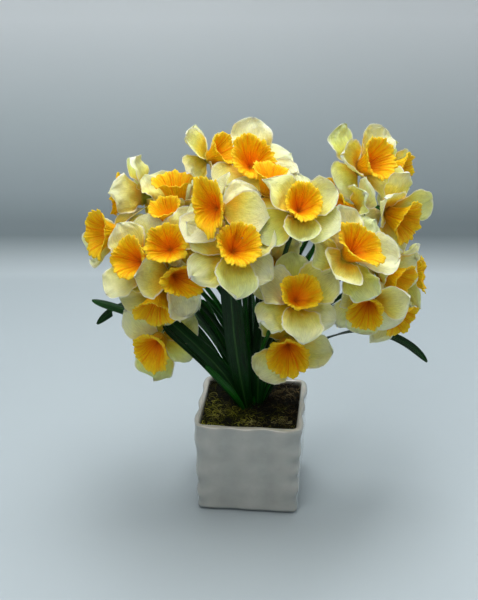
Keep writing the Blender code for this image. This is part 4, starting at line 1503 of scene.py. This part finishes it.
def cream_silk():
    """Woven petal silk: yellow-green at the root, cream on the blade and almost white at its rolled edge. The
    deeper yellow and orange blush near the root are partly dye and partly painted shade and warm glow from the
    cup; the white edge is partly a painted rim highlight.
    """
    made, w, shader = new_finish("cream silk")
    along, rim, tone = w.value("along"), w.value("rim"), w.value("tone")
    # The deeper yellow near the root is partly the silk's dye and partly painted shade and warm glow where the
    # petals meet the cup.
    plain = w.ramp(
        w.between(along, HUB_ALONG, 1.0),
        (0.0, 110, 134, 34),
        (0.27, 196, 164, 30),
        (0.42, 226, 196, 44),
        (0.54, 242, 220, 82),
        (0.68, 247, 240, 120),
        (0.84, 247, 249, 154),
        (1.0, 244, 250, 190),
    )
    # Patches of orange blush near the root: partly dye, partly painted warm light from the cup.
    blush_and_cup_glow = w.ramp(
        w.between(along, HUB_ALONG, 1.0),
        (0.0, 110, 134, 34),
        (0.27, 226, 150, 14),
        (0.44, 240, 180, 34),
        (0.58, 248, 216, 78),
        (0.76, 250, 240, 122),
        (1.0, 248, 249, 180),
    )
    blade = w.mix(w.between(w.noise(46.0, 2.0), 0.38, 0.62), plain, blush_and_cup_glow)
    green = w.mix(1.0, blade, colour(222, 238, 206), "MULTIPLY")
    greener = w.mix(w.between(tone, 0.0, 0.45, 0.75, 0.0), blade, green)
    paler = w.mix(w.between(tone, 0.6, 1.0, 0.0, 0.5), greener, colour(250, 254, 212))
    # A whiter edge: partly the silk's paler rolled edge, partly a painted rim highlight.
    edge_and_rim_highlight = w.mix(w.between(rim, 0.89, 1.0, 0.0, 0.7), paler, colour(250, 252, 234))
    veins = w.group("fibres", Across=w.value("across"), Along=along, Count=26.0)
    veined = w.maths("MULTIPLY", w.between(veins, 0.3, 0.7, 0.88, 1.07), w.mottle(70.0, 0.10))
    creased = w.bump(w.noise(100.0, 4.0, 0.6), 0.85, 0.0026)
    w.feed(
        shader,
        Base_Color=w.shaded(edge_and_rim_highlight, veined),
        Normal=woven(w, w.bump(veins, 0.6, 0.0010, creased)),
        Roughness=0.62,
        Specular_IOR_Level=0.35,
        Sheen_Weight=0.06,
        Sheen_Roughness=0.4,
        Subsurface_Weight=0.4,
        Subsurface_Radius=(0.9, 0.78, 0.3),
        Subsurface_Scale=0.004,
    )
    return made


def orange_silk():
    """Ruffled cup silk in orange: painted shade makes it deep orange in the throat and the valleys, and painted
    light makes the ridges lighter; the lip is yellow-orange, partly its own colour and partly painted
    highlight.
    """
    made, w, shader = new_finish("orange silk")
    up, pleat, inside = w.value("up"), w.value("pleat"), w.value("inside")
    # Both runs darken towards the foot: painted shade in the cup's throat.
    deep = w.ramp(
        up,
        (0.0, 206, 92, 4),
        (0.16, 226, 106, 4),
        (0.45, 242, 130, 2),
        (0.80, 252, 152, 6),
        (1.0, 255, 172, 12),
    )
    light = w.ramp(
        up,
        (0.0, 240, 138, 8),
        (0.16, 252, 160, 8),
        (0.45, 255, 186, 10),
        (0.88, 255, 196, 20),
        (1.0, 255, 206, 46),
    )
    # Painted shade in the valleys between the pleats, painted light on their ridges.
    pleated = w.mix(w.between(pleat, -0.9, 0.25), deep, light)
    outer = w.mix(w.between(up, 0.0, 0.45, 0.75, 0.0), pleated, colour(240, 190, 40))
    sided = w.mix(w.between(inside, 0.2, 0.8), outer, pleated)
    threads = w.group("fibres", Across=pleat, Along=up, Count=7.0)
    shade = w.maths("MULTIPLY", w.between(threads, 0.3, 0.7, 0.84, 1.05), w.mottle(90.0, 0.06))
    w.feed(
        shader,
        Base_Color=w.shaded(sided, shade),
        Normal=woven(w, w.bump(threads, 0.6, 0.0009)),
        Roughness=0.6,
        Specular_IOR_Level=0.15,
        Subsurface_Weight=0.5,
        Subsurface_Radius=(1.0, 0.7, 0.15),
        Subsurface_Scale=0.0035,
    )
    return made


def green_plastic():
    """Moulded green plastic with fine lengthwise ribs and a paler midrib, slightly dusty. The bright streaks
    along the ribs are painted highlights of its gloss, and the midrib's paleness is partly one too.
    """
    made, w, shader = new_finish("green plastic")
    across = w.value("across")
    leaf = w.mix(w.between(w.value("tone"), 0.0, 1.0), colour(0, 38, 2), colour(12, 86, 8))
    # The paler midrib: partly its own colour, partly a painted highlight.
    midrib = w.between(w.maths("ABSOLUTE", across), 0.0, 0.14, 0.5, 0.0)
    ribbed = w.mix(midrib, leaf, colour(60, 100, 44))
    streaks = w.group("fibres", Across=across, Along=w.value("along"), Count=18.0)
    # The streaks darken and lighten the green along the ribs; their bright side is painted highlight.
    shade = w.maths("MULTIPLY", w.between(streaks, 0.3, 0.7, 0.45, 2.1), w.mottle(30.0, 0.14))
    w.feed(
        shader,
        Base_Color=w.shaded(ribbed, shade),
        Normal=w.bump(streaks, 0.8, 0.0010),
        Roughness=w.between(streaks, 0.3, 0.7, 0.46, 0.28),
        Specular_IOR_Level=0.22,
        Subsurface_Weight=0.06,
        Subsurface_Radius=(0.3, 0.6, 0.15),
        Subsurface_Scale=0.003,
    )
    return made


def dry_moss():
    """Dry moss: near black in its depth, which is painted shade, with brown, olive and a few yellow-green
    strands; the lightest strands are partly painted highlight.
    """
    made, w, shader = new_finish("dry moss")
    tone = w.value("tone")
    green = w.ramp(tone, (0.0, 16, 17, 7), (0.30, 28, 30, 10), (0.60, 88, 92, 20), (1.0, 188, 186, 68))
    brown = w.ramp(tone, (0.0, 18, 14, 8), (0.30, 34, 25, 13), (0.60, 88, 70, 42), (1.0, 168, 156, 116))
    strand = w.mix(w.value("dry"), green, brown)
    w.feed(
        shader,
        Base_Color=w.shaded(strand, w.mottle(160.0, 0.3)),
        Normal=w.bump(w.noise(900.0, 4.0), 0.6, 0.0008),
        Roughness=0.85,
        Specular_IOR_Level=0.2,
    )
    return made


def glazed_ceramic():
    """White glaze on stoneware: thin and warm on the rim and raised parts, pooled and cooler in the dips."""
    made, w, shader = new_finish("glazed ceramic")
    body = w.mix(w.between(w.value("relief"), -0.8, 0.9), colour(165, 167, 161), colour(180, 179, 172))
    thin = w.mix(w.between(w.value("rim"), 0.3, 1.0, 0.0, 0.5), body, colour(222, 217, 200))
    specks = w.between(w.noise(420.0, 2.0), 0.70, 0.78, 1.0, 0.86)
    w.feed(
        shader,
        Base_Color=w.shaded(thin, w.maths("MULTIPLY", w.mottle(62.0, 0.13), specks)),
        Normal=w.bump(w.noise(48.0, 3.0), 0.25, 0.0012),
        Roughness=w.between(w.noise(60.0, 3.0), 0.3, 0.7, 0.16, 0.26),
        Coat_Weight=1.0,
        Coat_Roughness=0.04,
        Subsurface_Weight=0.05,
        Subsurface_Scale=0.002,
    )
    return made


def foam_green():
    """Cut floral foam with fine open pores."""
    made, w, shader = new_finish("floral foam")
    pores = w.noise(700.0, 4.0, 0.7)
    base = w.mix(w.between(pores, 0.35, 0.65), colour(40, 66, 40), colour(74, 104, 66))
    w.feed(
        shader,
        Base_Color=w.shaded(base, w.mottle(60.0, 0.2)),
        Normal=w.bump(pores, 0.6, 0.0006),
        Roughness=0.95,
    )
    return made


TABLE_PAINT = (181, 192, 197)


def new_paint(name):
    """A soft pale paint, with its wiring, shader and uneven shade."""
    made, w, shader = new_finish(name)
    w.feed(shader, Roughness=0.5, Specular_IOR_Level=0.25)
    return made, w, shader, w.mottle(3.0, 0.02)


def pale_sweep():
    """The pale table and the grey wall behind it in one paint. Painted shade darkens the wall low down, where
    it bends up from the table, and towards the right. The wall can't be seen from behind.
    """
    made, w, shader, shade = new_paint("pale sweep")
    back = w.value("back")
    # Painted shade: the paint is darkest where the sweep bends up into the wall and grows lighter higher up the
    # wall.
    paint = w.ramp(
        back,
        (0.0, *TABLE_PAINT),
        (0.05, *TABLE_PAINT),
        (0.20, 125, 136, 140),
        (0.33, 162, 172, 176),
        (0.52, 186, 195, 198),
        (0.76, 216, 221, 224),
        (1.0, 208, 212, 214),
    )
    # Painted shade: the wall grows darker towards the right.
    right_side_painted_shade = w.maths("MULTIPLY", shade, w.between(w.value("side"), -0.3, 0.35, 1.03, 0.88))
    both = w.mix(w.between(back, 0.0, 0.12), w.shaded(paint, shade), w.shaded(paint, right_side_painted_shade))
    w.feed(shader, Base_Color=both)
    seen = w.node("ShaderNodeMixShader")
    w.plug(seen.inputs[0], w.node("ShaderNodeNewGeometry").outputs["Backfacing"])
    w.plug(seen.inputs[1], shader.outputs["BSDF"])
    w.plug(seen.inputs[2], w.node("ShaderNodeBsdfTransparent").outputs["BSDF"])
    w.feed(made.node_tree.nodes["Material Output"], Surface=seen.outputs[0])
    return made


def plain_table():
    """The table under everything, in the same pale paint."""
    made, w, shader, shade = new_paint("pale table")
    w.feed(shader, Base_Color=w.shaded(colour(*TABLE_PAINT), shade))
    return made


# The stage, camera and lights

TABLE_HALF = 4.0
TABLE_DROP = 0.0002
SWEEP_HALF = 3.0
SWEEP_NEAR = 0.36
SWEEP_START = 0.48
SWEEP_BEND = 0.06
BEND_STEPS = 16
BEND_SHARE = 0.25
WALL_STEPS = 8
WALL_SHADED = 0.40
WALL_TALL = 1.6

# Each lamp: where it is, what it points at, its width and length, its watts and its tint
LAMPS = {
    "overhead_light": ((0.05, 0.24, 1.55), (0, -0.02, 0.15), (0.7, 1.5), 25.3, (1.0, 1.0, 1.0)),
    "window_light": ((1.1, 0.1, 1.0), (0.15, 0, 0.1), (0.8, 0.8), 2.6, (0.95, 0.98, 1.0)),
    "front_fill": ((-0.4, -1.3, 1.7), (0, 0, 0.25), (1.3, 1.0), 11.2, (1.0, 0.99, 0.97)),
}
ROOM_COLOUR = (0.84, 0.90, 0.95, 1)
ROOM_STRENGTH = 0.26


def stage_sheet(form, name, finish):
    sheet = place_object(name, form.mesh(name))
    sheet.data.materials.append(finish)


def sweep_section():
    """The sweep from its near edge up: how far back and how high it is, and its place in the paint's run."""
    section = [(SWEEP_NEAR, 0.0, 0.0), (SWEEP_START, 0.0, 0.0)]
    for step in range(1, BEND_STEPS + 1):
        angle = math.pi / 2 * step / BEND_STEPS
        away = SWEEP_START + SWEEP_BEND * math.sin(angle)
        section.append((away, SWEEP_BEND * (1 - math.cos(angle)), BEND_SHARE * step / BEND_STEPS))
    wall = SWEEP_START + SWEEP_BEND
    for step in range(1, WALL_STEPS + 1):
        share = step / WALL_STEPS
        section.append((wall, SWEEP_BEND + WALL_SHADED * share, BEND_SHARE + (1 - BEND_SHARE) * share))
    return section + [(wall, WALL_TALL, 1.0)]


def build_stage():
    """A wide table, and a sweep behind the pot that bends from the table up into the wall."""
    flat = Form()
    for x, y in ((-1, -1), (1, -1), (1, 1), (-1, 1)):
        flat.add((x * TABLE_HALF, y * TABLE_HALF, -TABLE_DROP))
    flat.faces.append((0, 1, 2, 3))
    stage_sheet(flat, "table", plain_table())
    sweep = Form("back", "side")
    lines = []
    for away, height, back in sweep_section():
        at = -AHEAD * away + Vector((0, 0, height))
        ends = (-SWEEP_HALF, SWEEP_HALF)
        lines.append([sweep.add(at + RIGHT * side, back=back, side=side) for side in ends])
    for low, high in zip(lines, lines[1:]):
        sweep.span(low, high, closed=False)
    stage_sheet(sweep, "backdrop", pale_sweep())


def build_lights():
    for name, (at, towards, size, power, tint) in LAMPS.items():
        light = bpy.data.lights.new(name, "AREA")
        light.shape = "RECTANGLE"
        light.size, light.size_y = size
        light.energy = power
        light.color = tint
        lamp = place_object(name, light)
        lamp.location = at
        lamp.rotation_euler = (Vector(towards) - Vector(at)).to_track_quat("-Z", "Y").to_euler()
    world = bpy.data.worlds.new("soft room")
    bpy.context.scene.world = world
    world.use_nodes = True
    background = world.node_tree.nodes["Background"]
    background.inputs["Color"].default_value = ROOM_COLOUR
    background.inputs["Strength"].default_value = ROOM_STRENGTH


def build_camera():
    lens = bpy.data.cameras.new("camera")
    lens.sensor_fit = "VERTICAL"
    lens.sensor_height = SENSOR
    lens.lens = SENSOR * FOCAL_PIXELS / PHOTO_HEIGHT
    camera = place_object("camera", lens)
    turned = Matrix((RIGHT, UPWARD, TO_VIEWER)).transposed().to_4x4()
    camera.matrix_world = Matrix.Translation(CAMERA_AT) @ turned
    bpy.context.scene.camera = camera


def main():
    build_mottle()
    build_fibres()
    build_stage()
    build_lights()
    build_camera()
    build_pot(glazed_ceramic())
    moss = dry_moss()
    build_moss_bed(moss)
    build_moss_strands(moss)
    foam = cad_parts["foam"]
    foam.data.materials.clear()
    foam.data.materials.append(foam_green())
    build_bush(green_plastic())
    build_blooms(cream_silk(), orange_silk())
    bpy.context.scene.view_settings.view_transform = "Standard"


main()
